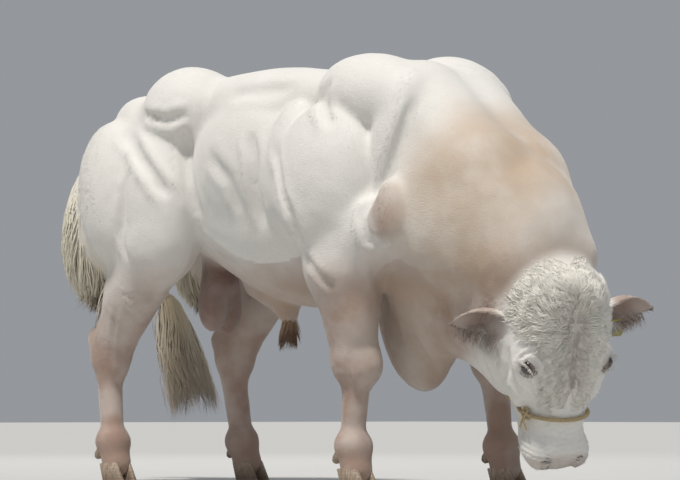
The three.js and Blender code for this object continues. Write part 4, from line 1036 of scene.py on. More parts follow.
def makeTufts(name, roots, normals, lie, spec, seed, mapped, clumps=None):
    # Blade: p(t) = root + length (lie t + normal lift t (1 - t/2) + side curl sin(2 pi waves t + phase) t) - sag t^2,
    # drawn towards its clump's own tip, with a three-sided section that narrows to a point.
    rng = np.random.default_rng(seed)
    count, rings = len(roots), spec["rings"]
    vary = lambda low, high: low + (high - low) * rng.random(count)
    length = spec["length"] * vary(0.72, 1.2) * spec.get("scale", np.ones(count))
    width = spec["width"] * vary(0.75, 1.25)
    lie = unit(lie + normals * -(lie * normals).sum(1, keepdims=True))
    side = np.cross(normals, lie)
    swing = rng.normal(0, spec.get("swing", 0.18), count)[:, None]
    lie = unit(lie + side * swing)
    side = np.cross(normals, lie)
    lift = spec["lift"] * vary(0.6, 1.4)
    curl = spec.get("curl", 0.0) * vary(-1, 1)
    phase = vary(0, 2 * math.pi)
    if clumps is not None:
        clump = clumps["of"]
        phase = clumps["phase"][clump] + vary(-0.4, 0.4)
        curl = clumps["curl"][clump] * spec.get("curl", 0.0) * vary(0.75, 1.25)
    t = np.linspace(0, 1, rings + 1)

    def pathAt(step):
        across = curl * np.sin(2 * math.pi * spec.get("waves", 0.5) * step + phase) * step
        outward = lift * step * (1 - 0.5 * step)
        p = roots - normals * spec.get("sink", 2.0) + (length * step)[:, None] * lie
        p = p + normals * (length * outward)[:, None] + side * (length * across)[:, None]
        return p - np.array([0, 0, 1]) * (spec.get("sag", 0.0) * length * step**2)[:, None]

    draw = np.zeros_like(roots)
    if clumps is not None:
        tips = pathAt(1.0)
        sums = np.zeros((len(clumps["phase"]), 3))
        np.add.at(sums, clump, tips)
        sizes = np.bincount(clump, minlength=len(sums))[:, None]
        draw = (sums / np.maximum(sizes, 1))[clump] - tips
    points, alongs = [], []
    for ring in range(rings):
        step = np.full(count, t[ring])
        centre = pathAt(step) + draw * spec.get("gather", 0.0) * t[ring] ** 1.4
        thick = width * (0.75 + 0.5 * math.sin(math.pi * min(1, t[ring] * 1.3))) * (1 - t[ring]) ** 0.45
        for corner in range(3):
            angle = math.pi / 2 + corner * 2 * math.pi / 3
            offset = side * (math.cos(angle) * 0.5 * thick)[:, None]
            offset = offset + normals * (math.sin(angle) * 0.5 * spec.get("flat", 0.6) * thick)[:, None]
            points.append(centre + offset)
            alongs.append(np.full(count, t[ring]))
    points.append(pathAt(np.ones(count)) + draw * spec.get("gather", 0.0))
    alongs.append(np.ones(count))
    vertices = np.stack(points, 1).reshape(-1, 3)
    per = rings * 3 + 1
    pattern = [[2, 1, 0]]
    for ring in range(rings - 1):
        for corner in range(3):
            a, b = ring * 3 + corner, ring * 3 + (corner + 1) % 3
            pattern += [[a, b, b + 3], [a, b + 3, a + 3]]
    last = (rings - 1) * 3
    pattern += [[last + corner, last + (corner + 1) % 3, per - 1] for corner in range(3)]
    pattern = np.array(pattern)
    faces = (np.arange(count)[:, None, None] * per + pattern[None]).reshape(-1, 3)
    mesh = bpy.data.meshes.new(name)
    mesh.vertices.add(len(vertices))
    mesh.vertices.foreach_set("co", toScene(vertices).astype(np.float32).ravel())
    mesh.loops.add(len(faces) * 3)
    mesh.loops.foreach_set("vertex_index", faces.astype(np.int32).ravel())
    mesh.polygons.add(len(faces))
    mesh.polygons.foreach_set("loop_start", np.arange(0, len(faces) * 3, 3, dtype=np.int32))
    mesh.polygons.foreach_set("loop_total", np.full(len(faces), 3, np.int32))
    mesh.update(calc_edges=True)
    mesh.validate()
    mesh.shade_smooth()
    soften = spec.get("round", 0.75)
    blend = np.repeat(normals, per, axis=0) * soften + meshNormals(mesh) * (1 - soften)
    mesh.normals_split_custom_set_from_vertices(unit(blend).tolist())
    patch = np.array([[math.cos(k * 2.1), math.sin(k * 2.1)] for k in range(per)]) * patchRadius
    places = (mapped[:, None, :] + patch[None]).reshape(-1, 2)
    layer = mesh.uv_layers.new(name="OFBake")
    layer.data.foreach_set("uv", places[faces.ravel()].astype(np.float32).ravel())
    for maskName, mask in coatMarksAndShade(roots, normals).items():
        setFloats(mesh, maskName, np.repeat(mask, per))
    setFloats(mesh, "along", np.stack(alongs, 1).ravel())
    setFloats(mesh, "vary", np.repeat(rng.random(count), per))
    made = bpy.data.objects.new(name, mesh)
    bpy.context.scene.collection.objects.link(made)
    coatPieces.append(made)
    print("coat:", name, count, "tufts,", len(faces), "triangles")
    return made


def clumpsFor(roots, count, seed):
    # Each root joins the nearest of a few clump centres, which share one curl.
    rng = np.random.default_rng(seed)
    centres = roots[rng.choice(len(roots), min(count, len(roots)), replace=False)]
    nearest = np.zeros(len(roots), np.int64)
    for start in range(0, len(roots), 4000):
        part = roots[start : start + 4000]
        nearest[start : start + 4000] = ((part[:, None] - centres[None]) ** 2).sum(2).argmin(1)
    curls = rng.choice([-1, 1], len(centres)) * (0.6 + 0.4 * rng.random(len(centres)))
    return {"of": nearest, "phase": rng.random(len(centres)) * 2 * math.pi, "curl": curls}


centreLocal = headLocal(triangleCentres)
centreX, centreY, centreZ = triangleCentres.T
headDepth = fieldAt([(0, headMuscles)], triangleCentres)
underDepth = fieldAt([(0, underMuscles)], triangleCentres)
tailDepth = fieldAt([(0, tailMuscles(tail))], triangleCentres)
eyeGap = np.linalg.norm(
    np.stack(
        [centreLocal[:, 0] - eye["along"], centreLocal[:, 1] - eye["out"], np.abs(centreLocal[:, 2]) - eye["side"]], 1
    ),
    axis=1,
)


def earSpan(points, place):
    along, opening, across = earAxes(place)
    apart = points - place["root"]
    return apart @ along, apart @ opening, apart @ across


earMask = np.zeros(len(triangleCentres), bool)
for place in (earRight, earLeft):
    reach, lift, across = earSpan(triangleCentres, place)
    earMask |= (reach > 12) & (reach < 230) & (np.abs(across) < 75) & (lift > -75) & (lift < 70) & (headDepth > 4)
onFace = (headDepth < 8) & ~earMask
bare = (eyeGap < 34) | (underDepth < 4)

# Curls down the forehead, either side of the parting, and up round the poll.
curlSpec = {"count": 8600, "clumps": 190, "length": 62, "width": 3.7, "rings": 4, "lift": 0.3, "sink": 3}
curlSpec.update({"round": 0.45, "curl": 0.2, "waves": 1.25, "gather": 0.42, "swing": 0.12})


def makeHeadCurls(spec):
    fade = smoothStep(400, 330, centreLocal[:, 0]) * smoothStep(-190, -120, centreLocal[:, 1])
    fade = np.maximum(fade, smoothStep(160, 60, centreLocal[:, 0]) * smoothStep(-260, -190, centreLocal[:, 1]))
    band = 165 - 95 * smoothStep(60, 230, centreLocal[:, 0])
    fade = fade * smoothStep(-62, -30, centreLocal[:, 0]) * smoothStep(22, -22, np.abs(centreLocal[:, 2]) - band)
    weight = fade * onFace * ~bare * smoothStep(44, 66, eyeGap)
    roots, normals = sampleSkin(spec["count"], weight, 31)
    local = headLocal(roots)
    spec["scale"] = 0.55 + 0.42 * smoothStep(300, 40, local[:, 0])
    clumps = clumpsFor(roots, spec["clumps"], 32)
    makeTufts("headCurls", roots, normals, lieOf(roots), spec, 33, headMap(roots), clumps)


makeHeadCurls(curlSpec)

faceSpec = {"count": 13000, "length": 17, "width": 2.0, "rings": 2, "lift": 0.15, "sink": 1.5}
faceSpec.update({"flat": 0.4, "round": 0.75, "swing": 0.12})


def makeFaceFur(spec):
    weight = onFace * ~bare * (0.35 + 0.65 * smoothStep(600, 520, centreLocal[:, 0]))
    weight = weight * smoothStep(30, 40, eyeGap)
    roots, normals = sampleSkin(spec["count"], weight, 41)
    makeTufts("faceFur", roots, normals, lieOf(roots), spec, 42, headMap(roots))


makeFaceFur(faceSpec)

earSpec = {"count": 2600, "length": 17, "width": 1.9, "rings": 3, "lift": 0.2, "round": 0.7, "sink": 1.5, "swing": 0.2}
fringeSpec = {"count": 650, "length": 40, "width": 2.0, "rings": 4, "lift": 0.5, "sink": 2, "swing": 0.3, "sag": 0.35}
fringeSpec.update({"curl": 0.12, "round": 0.4})


def makeEarFur(name, place, spec, fringe, seed):
    reach, lift, across = earSpan(triangleCentres, place)
    along, opening, wide = earAxes(place)
    here = earMask & (reach > -5) & (reach < 235) & (np.abs(across) < 90)
    roots, normals = sampleSkin(spec["count"], here.astype(float), seed)
    lie = np.tile(along, (len(roots), 1)) + headBasis[0] * 0.3
    makeTufts(name + "Fur", roots, normals, lie, spec, seed + 1, headMap(roots))
    low = across * np.sign(headBasis[0] @ wide)
    edge = here * smoothStep(16, 34, low) * (reach > 20)
    roots, normals = sampleSkin(fringe["count"], edge + 1e-9, seed + 2)
    lie = along * 0.5 + headBasis[0] * 0.9 + opening * 0.25
    lie = np.tile(lie, (len(roots), 1))
    edgeHair = makeTufts(name + "Fringe", roots, normals, lie, fringe, seed + 3, headMap(roots))
    # The fringe hair takes none of the ear cup's painted shade.
    setFloats(edgeHair.data, "earCupSkinAndShade", np.zeros(len(edgeHair.data.vertices)))


makeEarFur("earRight", earRight, earSpec, fringeSpec, 51)
makeEarFur("earLeft", earLeft, earSpec, fringeSpec, 56)

# Long cream hair on the back of each thigh.
shagSpec = {"count": 4000, "clumps": 170, "length": 112, "width": 5.4, "rings": 5, "lift": 0.28, "sink": 3}
shagSpec.update({"round": 0.55, "curl": 0.12, "waves": 1.1, "gather": 0.36, "swing": 0.14, "sag": 0.2})


def makeShag(name, side, seed):
    spec = dict(shagSpec)
    rear = smoothStep(-760, -930, centreX + 0.3 * (centreZ - 900) * (centreZ < 900))
    weight = rear * (centreY * side > 25) * smoothStep(640, 700, centreZ) * smoothStep(1150, 960, centreZ)
    weight = weight * (tailDepth > 12)
    roots, normals = sampleSkin(spec["count"], weight, seed)
    spec["scale"] = 0.35 + 0.75 * smoothStep(1140, 840, roots[:, 2])
    lie = np.tile([-0.1, 0.0, -1.0], (len(roots), 1)) + normals * 0.2
    makeTufts(name, roots, normals, lie, spec, seed + 1, trunkMap(roots), clumpsFor(roots, spec["clumps"], seed + 2))


makeShag("shagRight", -1, 61)
makeShag("shagLeft", 1, 64)

# Curly hair higher up on the thighs.
thighSpec = {"count": 6000, "clumps": 420, "length": 30, "width": 2.6, "rings": 3, "lift": 0.14, "sink": 2}
thighSpec.update({"round": 0.85, "curl": 0.26, "waves": 0.9, "gather": 0.25, "swing": 0.2})


def makeThighCurls(spec):
    weight = smoothStep(-560, -760, centreX) * smoothStep(900, 1040, centreZ) * smoothStep(1330, 1250, centreZ)
    weight = weight * (tailDepth > 12) * (np.abs(centreY) > 60)
    roots, normals = sampleSkin(spec["count"], weight, 71)
    clumps = clumpsFor(roots, spec["clumps"], 73)
    makeTufts("thighCurls", roots, normals, lieOf(roots), spec, 72, trunkMap(roots), clumps)


makeThighCurls(thighSpec)

# Short flat fur over everything else, in pieces small enough to keep.
bodySpec = {"length": 22, "width": 2.3, "rings": 2, "lift": 0.06, "sink": 1.5}
bodySpec.update({"flat": 0.3, "round": 0.95, "swing": 0.12})
bodyPieces = {
    "coatRump": {"count": 11000, "low": [-1200, -480, 560], "high": [-420, 480, 1600]},
    "coatLoin": {"count": 9500, "low": [-420, -480, 560], "high": [120, 480, 1600]},
    "coatRibs": {"count": 9500, "low": [120, -480, 560], "high": [520, 480, 1600]},
    "coatShoulder": {"count": 10500, "low": [520, -480, 560], "high": [860, 480, 1600]},
    "coatNeck": {"count": 11000, "low": [860, -480, 440], "high": [1460, 480, 1600]},
}
legSpec = {"length": 15, "width": 2.1, "rings": 2, "lift": 0.11, "sink": 1.5}
legSpec.update({"flat": 0.35, "round": 0.9, "swing": 0.12})
legPieces = {
    "coatForelegs": {"count": 7500, "low": [100, -480, 80], "high": [960, 480, 560]},
    "coatHindLegs": {"count": 7500, "low": [-1200, -480, 80], "high": [100, 480, 560]},
}


def makeBodyFur(name, piece, spec, mapOf, seed):
    low, high = np.array(piece["low"]), np.array(piece["high"])
    inside = ((triangleCentres >= low) & (triangleCentres < high)).all(1)
    weight = inside * ~onFace * ~earMask * ~bare * np.where(tailDepth < 6, 0.5, 1.0)
    roots, normals = sampleSkin(piece["count"], weight.astype(float), seed)
    makeTufts(name, roots, normals, lieOf(roots), spec, seed + 1, mapOf(roots))


for number, (pieceName, piece) in enumerate(bodyPieces.items()):
    makeBodyFur(pieceName, piece, bodySpec, trunkMap, 80 + 2 * number)
for number, (pieceName, piece) in enumerate(legPieces.items()):
    makeBodyFur(pieceName, piece, legSpec, legMap, 95 + 2 * number)

# The switch hangs from the last of the tail, and a brown tuft hangs from the sheath.
switchSpec = {"count": 1800, "clumps": 26, "length": 380, "width": 3.4, "rings": 7, "lift": 0.16, "sink": 4}
switchSpec.update({"round": 0.6, "curl": 0.07, "waves": 1.3, "gather": 0.5, "swing": 0.1, "sag": 0.0, "flat": 0.8})
sheathSpec = {"count": 420, "clumps": 9, "length": 86, "width": 3.4, "rings": 4, "lift": 0.1, "sink": 3}
sheathSpec.update({"round": 0.2, "curl": 0.1, "waves": 0.8, "gather": 0.5, "swing": 0.1, "flat": 0.8})


def roundRoots(path, radii, count, seed):
    # Roots on a tube round a path, with normals square to it.
    rng = np.random.default_rng(seed)
    t = np.sqrt(rng.random(count))
    path = np.asarray(path, float)
    place = smoothPath(path, 60)
    index = np.clip((t * 59).astype(int), 0, 58)
    tangent = unit(place[index + 1] - place[index])
    side = unit(np.cross(tangent, [0.3, 1, 0.1]))
    other = np.cross(side, tangent)
    turn = rng.random(count) * 2 * math.pi
    normals = side * np.cos(turn)[:, None] + other * np.sin(turn)[:, None]
    radius = radii[0] + (radii[1] - radii[0]) * t
    return place[index] + normals * radius[:, None], normals


def makeHanging(name, spec, path, radii, spread, seed):
    roots, normals = roundRoots(path, radii, spec["count"], seed)
    down = np.array([0.0, 0.0, -1.0]) + spread["drift"]
    lie = down + normals * spread["fan"]
    square = unit(normals - unit(lie) * (normals * unit(lie)).sum(1, keepdims=True))
    clumps = clumpsFor(roots, spec["clumps"], seed + 1)
    mapped = cylinderMap(roots, path[-1], [0, 0, -1], [1, 0, 0], -120, 120)
    makeTufts(name, roots, square, lie, spec, seed + 2, mapped, clumps)


switchPath = [[-1030, 180, 728], [-1004, 240, 690], [-1000, 275, 660], [-998, 288, 612]]
makeHanging("tailSwitch", switchSpec, switchPath, (18, 22), {"drift": np.array([0.12, 0.11, 0]), "fan": 0.12}, 111)
sheathPath = [[-49, 0, 588], [-48, 0, 572], [-47, 0, 548]]
makeHanging("sheathTuft", sheathSpec, sheathPath, (26, 15), {"drift": np.array([0, 0, 0]), "fan": 0.22}, 115)


# Eyes: a ball with a slight bulge over the iris; the iris is found by its angle from the gaze.
def makeEye(name, side):
    centre, gaze, level, rise = eyeFrame(side)
    u, v = np.meshgrid(np.linspace(0, math.pi, 33), np.linspace(0, 2 * math.pi, 49)[:-1], indexing="ij")
    radius = eye["radius"] * (1 + 0.05 * np.exp(-((u / 0.62) ** 2)))
    local = np.stack([np.sin(u) * np.cos(v), np.sin(u) * np.sin(v), np.cos(u)], -1) * radius[..., None]
    points = centre + local[..., :1] * level + local[..., 1:2] * rise + local[..., 2:] * gaze
    rows, cols = u.shape
    faces = gridFaces(rows, cols)
    made = newMesh(name, toScene(points.reshape(-1, 3)), faces)
    turnFacesOut(made.data)
    local = meshPoints(made.data) * 1000 - bodyShift - centre
    angle = np.arccos(np.clip(unit(local) @ gaze, -1, 1))
    setFloats(made.data, "iris", 1 - smoothStep(0.95, 1.15, angle))
    pupil = np.hypot((local @ level) / 11.0, (local @ rise) / 5.2)
    setFloats(made.data, "pupil", 1 - smoothStep(0.85, 1.15, pupil))
    made.data.shade_smooth()
    return made


eyes = [makeEye("eyeRight", -1), makeEye("eyeLeft", 1)]


lashCount = 60


def makeLashes(name, side, seed):
    centre, gaze, level, rise = eyeFrame(side)
    rng = np.random.default_rng(seed)
    angle = (0.15 + 0.7 * rng.random(lashCount)) * math.pi
    reach = eye["slitLength"] + 4
    roots = centre + level * (np.cos(angle) * reach)[:, None] + rise * (np.sin(angle) * reach * 0.6)[:, None]
    roots = roots + gaze * (14 + 12 * np.sin(angle))[:, None]
    lie = gaze * 0.9 - rise * 0.15 + level * (np.cos(angle) * 0.5)[:, None]
    normals = unit(np.tile(rise, (lashCount, 1)) + gaze * 0.3)
    spec = {"length": 15, "width": 1.0, "rings": 3, "lift": 0.2, "sink": 1, "swing": 0.12}
    makeTufts(name, roots, normals, lie, spec, seed + 1, headMap(roots))


makeLashes("lashesRight", -1, 121)
makeLashes("lashesLeft", 1, 123)
print("eyes made")

# Hooves: each claw is a sloped loft with growth rings and a flat sole.
claw = {"length": 118, "width": 56, "height": 74, "spread": 31, "toeIn": 5, "slope": 34, "forward": 8}


def makeClaw(name, foot, outer):
    rise, turn = np.meshgrid(np.linspace(0, 1, 26), np.linspace(0, 2 * math.pi, 57)[:-1], indexing="ij")
    shrink = 1 - 0.24 * rise
    soleRound = 1 - 0.05 * np.exp(-rise * 40)
    ringWave = 1 + 0.012 * np.sin(rise * 44 + 1.2 * np.cos(turn)) * smoothStep(0, 0.1, rise)
    front = np.where(np.cos(turn) > 0, 1, 0.72)
    length = claw["length"] / 2 * front * shrink * soleRound * ringWave
    x = np.cos(turn) * length - claw["slope"] * rise + claw["forward"]
    flatInside = np.where(np.sin(turn) * outer < 0, 0.72, 1)
    toe = 1 - 0.16 * np.cos(turn)
    y = np.sin(turn) * claw["width"] / 2 * flatInside * shrink * toe * soleRound * ringWave
    z = claw["height"] * rise + 4 * rise * np.cos(turn)
    across = foot[1] + claw["spread"] * outer + y - claw["toeIn"] * outer * x / 60
    points = np.stack([foot[0] + x, across, z], -1).reshape(-1, 3)
    rows, cols = rise.shape
    points = np.concatenate([points, [points[:cols].mean(0)], [points[-cols:].mean(0)]])
    quads = gridFaces(rows, cols).tolist()
    bottom, top = rows * cols, rows * cols + 1
    caps = [[bottom, (n + 1) % cols, n] for n in range(cols)]
    caps += [[top, (rows - 1) * cols + n, (rows - 1) * cols + (n + 1) % cols] for n in range(cols)]
    made = newMesh(name, toScene(points), quads + caps)
    setFloats(made.data, "rise", np.concatenate([rise.ravel(), [0, 1]]))
    made.data.set_sharp_from_angle(angle=math.radians(50))
    return made


claws = []
feet = {
    "ForeRight": legs["foreRight"]["foot"],
    "ForeLeft": legs["foreLeft"]["foot"],
    "HindRight": legs["hindRight"]["foot"],
    "HindLeft": flip(legs["hindLeft"]["foot"]),
}
for footName, foot in feet.items():
    sideSign = 1 if footName.endswith("Left") else -1
    claws.append(makeClaw("claw" + footName + "Outer", foot, sideSign))
    claws.append(makeClaw("claw" + footName + "Inner", foot, -sideSign))

dewclaw = {"radius": 19, "back": 58, "spread": 27, "height": 104, "length": 46}


def makeDewclaws(name, foot, fetlock):
    # Two blunt horny cones behind the fetlock, each a profile turned round its own axis.
    pieces, faces, start = [], [], 0
    for side in (-1, 1):
        x = mix(fetlock, foot, 0.35)[0] - dewclaw["back"]
        base = np.array([x + 26, foot[1] + dewclaw["spread"] * side, dewclaw["height"] + 18])
        axis = unit(np.array([-0.72, 0.1 * side, -0.68]))
        first = unit(np.cross(axis, [0, 1, 0]))
        second = np.cross(axis, first)
        t, turn = np.meshgrid(np.linspace(0, 1, 12), np.linspace(0, 2 * math.pi, 19)[:-1], indexing="ij")
        radius = dewclaw["radius"] * np.sqrt(np.maximum(1 - t**3, 0)) * (1 + 0.03 * np.sin(22 * t))
        local = base + axis * (t * dewclaw["length"])[..., None]
        local = local + first * (np.cos(turn) * radius)[..., None] + second * (np.sin(turn) * radius)[..., None]
        pieces.append(local.reshape(-1, 3))
        rows, cols = t.shape
        faces += (gridFaces(rows, cols) + start).tolist()
        faces.append([int(start + n) for n in range(cols)][::-1])
        start += rows * cols
    made = newMesh(name, toScene(np.concatenate(pieces)), faces)
    turnFacesOut(made.data)
    setFloats(made.data, "rise", np.full(len(made.data.vertices), 0.6))
    made.data.shade_smooth()
    return made


dewclaws = []
for footName, foot in feet.items():
    leg = legs[footName[0].lower() + footName[1:]]
    dewclaws.append(makeDewclaws("dewclaws" + footName, foot, [leg["fetlock"][0], foot[1], leg["fetlock"][2]]))
print("hooves made")

# A cord of two twisted strands round the nose, tied in a knot on the right.
noseband = {"along": 412, "out": -120, "radius": 5.2, "slack": 8, "strand": 3.4, "turns": 46, "knotAt": 0.8}


def nosePath(spec, count):
    angle = np.linspace(0, 2 * math.pi, count, endpoint=False)
    directions = np.stack([np.zeros(count), np.cos(angle), np.sin(angle)], 1) @ headBasis
    origin = onHead(spec["along"], spec["out"], 0)
    reach = np.full(count, 40.0)
    for _ in range(30):
        gap = fieldAt(bodyGroups, origin + directions * reach[:, None])
        reach = reach - np.clip(gap, -25, 25) * 0.9
    return origin + directions * (reach + spec["slack"])[:, None], directions


def tubeMesh(paths, radius, cols=8, closed=True):
    # A round section carried along each path, in a frame that turns with it.
    vertices, faces, start = [], [], 0
    for path in paths:
        count = len(path)
        ahead = np.roll(path, -1, 0) - np.roll(path, 1, 0) if closed else np.gradient(path, axis=0)
        tangent = unit(ahead)
        side = unit(np.cross(tangent, [0.31, 0.2, 0.93]))
        other = np.cross(side, tangent)
        turn = np.linspace(0, 2 * math.pi, cols, endpoint=False)
        ring = path[:, None] + side[:, None] * (np.cos(turn) * radius)[None, :, None]
        ring = ring + other[:, None] * (np.sin(turn) * radius)[None, :, None]
        vertices.append(ring.reshape(-1, 3))
        rows = count if closed else count - 1
        i, j = np.meshgrid(np.arange(rows), np.arange(cols), indexing="ij")
        a, b = i * cols + j, i * cols + (j + 1) % cols
        nextRow = lambda k: (k + cols) % (count * cols)
        quad = np.stack([a, nextRow(a), nextRow(b), b], -1).reshape(-1, 4) + start
        faces += quad.tolist()
        if not closed:
            faces.append([int(start + n) for n in range(cols)][::-1])
            faces.append([int(start + (count - 1) * cols + n) for n in range(cols)])
        start += count * cols
    return np.concatenate(vertices), faces


def makeNoseband(spec):
    path, outward = nosePath(spec, 520)
    tangent = unit(np.roll(path, -1, 0) - np.roll(path, 1, 0))
    side = np.cross(tangent, outward)
    turn = np.linspace(0, 2 * math.pi * spec["turns"], len(path), endpoint=False)[:, None]
    strands = []
    for phase in (0, math.pi):
        strands.append(path + (outward * np.cos(turn + phase) + side * np.sin(turn + phase)) * spec["strand"])
    vertices, faces = tubeMesh(strands, 3.6)
    place = int(spec["knotAt"] * len(path))
    centre, away, down, tang = path[place], outward[place], side[place], tangent[place]
    t = np.linspace(0, 2 * math.pi, 70, endpoint=False)[:, None]
    knot = centre + away * (5 + 6 * np.cos(3 * t)) + tang * (np.sin(t) + 2 * np.sin(2 * t)) * 7
    knot = knot + down * (np.cos(t) - 2 * np.cos(2 * t)) * 6
    more, moreFaces = tubeMesh([knot], 4.2)
    faces += [[n + len(vertices) for n in face] for face in moreFaces]
    vertices = np.concatenate([vertices, more])
    for lean in (-0.5, 0.6):
        step = np.linspace(0, 1, 18)[:, None]
        end = centre + away * (8 + 4 * np.sin(3 * step)) + headBasis[0] * 46 * step + tang * lean * 30 * step**1.5
        more, moreFaces = tubeMesh([end], 3.2, closed=False)
        faces += [[n + len(vertices) for n in face] for face in moreFaces]
        vertices = np.concatenate([vertices, more])
    return newMesh("nosebandCord", toScene(vertices), faces)


nosebandCord = makeNoseband(noseband)

# Ear tag: a rounded plate with a raised rim and a stud.
tagSpec = {"width": 46, "height": 56, "thick": 4, "squareness": 0.42, "button": 22, "along": 0.42}


def makeTag(spec):
    centre = earLeft["root"] + earLeft["heading"] * ear["length"] * spec["along"]
    centre = centre + headBasis[0] * 55 - headBasis[1] * 26
    turn = np.linspace(0, 2 * math.pi, 64, endpoint=False)
    circle = np.stack([np.cos(turn), np.sin(turn)], 1)
    outline = np.sign(circle) * np.abs(circle) ** spec["squareness"]
    outline = outline * [spec["width"] / 2, spec["height"] / 2]
    half = spec["thick"] / 2
    profile = [(0.0, -half), (0.94, -half), (1, -half * 0.5), (1, half * 0.5), (0.97, half), (0.93, half)]
    profile += [(0.9, half * 0.5), (0.26, half * 0.5), (0.24, half * 1.8), (0.1, half * 2.2), (0.0, half * 2.2)]
    rings = []
    for k, (scale, height) in enumerate(profile):
        flat = outline if scale > 0.5 else circle * spec["button"]
        local = flat * scale
        lean = (0, 14) if 0 < scale < 0.5 else (0, 0)
        local = local + (np.array(lean) if k >= 7 else 0)
        rings.append(
            centre + local[:, :1] * headBasis[2] - local[:, 1:] * headBasis[0] + headBasis[1] * height
        )
    points = np.stack(rings).reshape(-1, 3)
    rows, cols = len(profile), 64
    made = newMesh("earTag", toScene(points), gridFaces(rows, cols))
    turnFacesOut(made.data)
    made.data.set_sharp_from_angle(angle=math.radians(40))
    return made


earTag = makeTag(tagSpec)
print("noseband and tag made")

# Materials.
def rgb(r, g, b):
    return (r, g, b, 1.0)


def newGroup(name, inputs, outputs):
    group = bpy.data.node_groups.new(name, "ShaderNodeTree")
    for socketName, kind, value in inputs:
        socket = group.interface.new_socket(socketName, in_out="INPUT", socket_type=kind)
        socket.default_value = value
    for socketName, kind in outputs:
        group.interface.new_socket(socketName, in_out="OUTPUT", socket_type=kind)
    return group, group.nodes.new("NodeGroupInput"), group.nodes.new("NodeGroupOutput")


def mixColor(tree, factor, a, b):
    node = tree.nodes.new("ShaderNodeMix")
    node.data_type = "RGBA"
    for value, socket in ((factor, node.inputs[0]), (a, node.inputs[6]), (b, node.inputs[7])):
        if isinstance(value, bpy.types.NodeSocket):
            tree.links.new(value, socket)
        else:
            socket.default_value = value
    return node.outputs[2]


def mathNode(tree, operation, a, b=0.0):
    node = tree.nodes.new("ShaderNodeMath")
    node.operation = operation
    for value, socket in ((a, node.inputs[0]), (b, node.inputs[1])):
        if isinstance(value, bpy.types.NodeSocket):
            tree.links.new(value, socket)
        else:
            socket.default_value = value
    return node.outputs[0]


def noiseNode(tree, scale, detail=3.0, stretch=(1, 1, 1), turn=(0, 0, 0)):
    place = tree.nodes.new("ShaderNodeTexCoord")
    mapping = tree.nodes.new("ShaderNodeMapping")
    mapping.inputs["Scale"].default_value = stretch
    mapping.inputs["Rotation"].default_value = turn
    tree.links.new(place.outputs["Object"], mapping.inputs["Vector"])
    noise = tree.nodes.new("ShaderNodeTexNoise")
    noise.inputs["Scale"].default_value = scale
    noise.inputs["Detail"].default_value = detail
    tree.links.new(mapping.outputs[0], noise.inputs["Vector"])
    return noise.outputs["Fac"]


def rampOf(tree, source, low, high):
    node = tree.nodes.new("ShaderNodeMapRange")
    node.interpolation_type = "SMOOTHSTEP"
    tree.links.new(source, node.inputs["Value"])
    node.inputs["From Min"].default_value = low
    node.inputs["From Max"].default_value = high
    return node.outputs["Result"]


def maskNode(tree, name):
    node = tree.nodes.new("ShaderNodeAttribute")
    node.attribute_name = name
    return node.outputs["Fac"]


def buildCoatTintAndShade():
    # The coat's colour from the masks, its own tints and the painted shade under the body, in the ear cups, round the
    # eyes and on the scrotum, with patchy noise that keeps every edge soft.
    group, inside, outside = newGroup(
        "coatTintAndShade",
        [("White", "NodeSocketColor", rgb(0.78, 0.765, 0.73)), ("Patch", "NodeSocketFloat", 5.0)],
        [("Color", "NodeSocketColor")],
    )
    patch = group.nodes.new("ShaderNodeTexNoise")
    patch.inputs["Detail"].default_value = 4
    place = group.nodes.new("ShaderNodeTexCoord")
    group.links.new(place.outputs["Object"], patch.inputs["Vector"])
    group.links.new(inside.outputs["Patch"], patch.inputs["Scale"])
    broad = rampOf(group, patch.outputs["Fac"], 0.3, 0.7)
    color = mixColor(group, mathNode(group, "MULTIPLY", broad, 0.22), inside.outputs["White"], rgb(0.62, 0.575, 0.52))
    # Each mask's colour and greatest share; the pink-tan of the legs and underside, the neck's buff, the scrotum's red
    # and the ear cups' brown are darkened as painted shade, and the socket tint is painted shade round the eyes and in
    # the parting.
    tints = {
        "pinkSkinAndShade": (rgb(0.335, 0.22, 0.17), 1.0),
        "buffTanAndShade": (rgb(0.47, 0.335, 0.22), 0.95),
        "cream": (rgb(0.74, 0.64, 0.42), 0.6),
        "redSkinAndShade": (rgb(0.17, 0.082, 0.068), 1.0),
        "earCupSkinAndShade": (rgb(0.21, 0.125, 0.09), 1.0),
        "socket": (rgb(0.30, 0.255, 0.235), 0.75),
        "nose": (rgb(0.66, 0.52, 0.46), 0.55),
    }
    for name, (tint, most) in tints.items():
        spread = mathNode(group, "ADD", mathNode(group, "MULTIPLY", broad, 0.5), 0.6)
        amount = mathNode(group, "MULTIPLY", maskNode(group, name), spread)
        amount = mathNode(group, "MINIMUM", mathNode(group, "MULTIPLY", amount, most), 1.0)
        color = mixColor(group, amount, color, tint)
    group.links.new(color, outside.inputs["Color"])
    return group


coatTintAndShade = buildCoatTintAndShade()


def newMaterial(name, roughness, **fixed):
    made = bpy.data.materials.new(name)
    made.use_nodes = True
    tree = made.node_tree
    shader = tree.nodes["Principled BSDF"]
    shader.inputs["Roughness"].default_value = roughness
    for socketName, value in fixed.items():
        shader.inputs[socketName.replace("_", " ")].default_value = value
    return made, tree, shader


def bumpInto(tree, shader, height, strength, distance):
    bump = tree.nodes.new("ShaderNodeBump")
    bump.inputs["Strength"].default_value = strength
    bump.inputs["Distance"].default_value = distance
    tree.links.new(height, bump.inputs["Height"])
    tree.links.new(bump.outputs["Normal"], shader.inputs["Normal"])


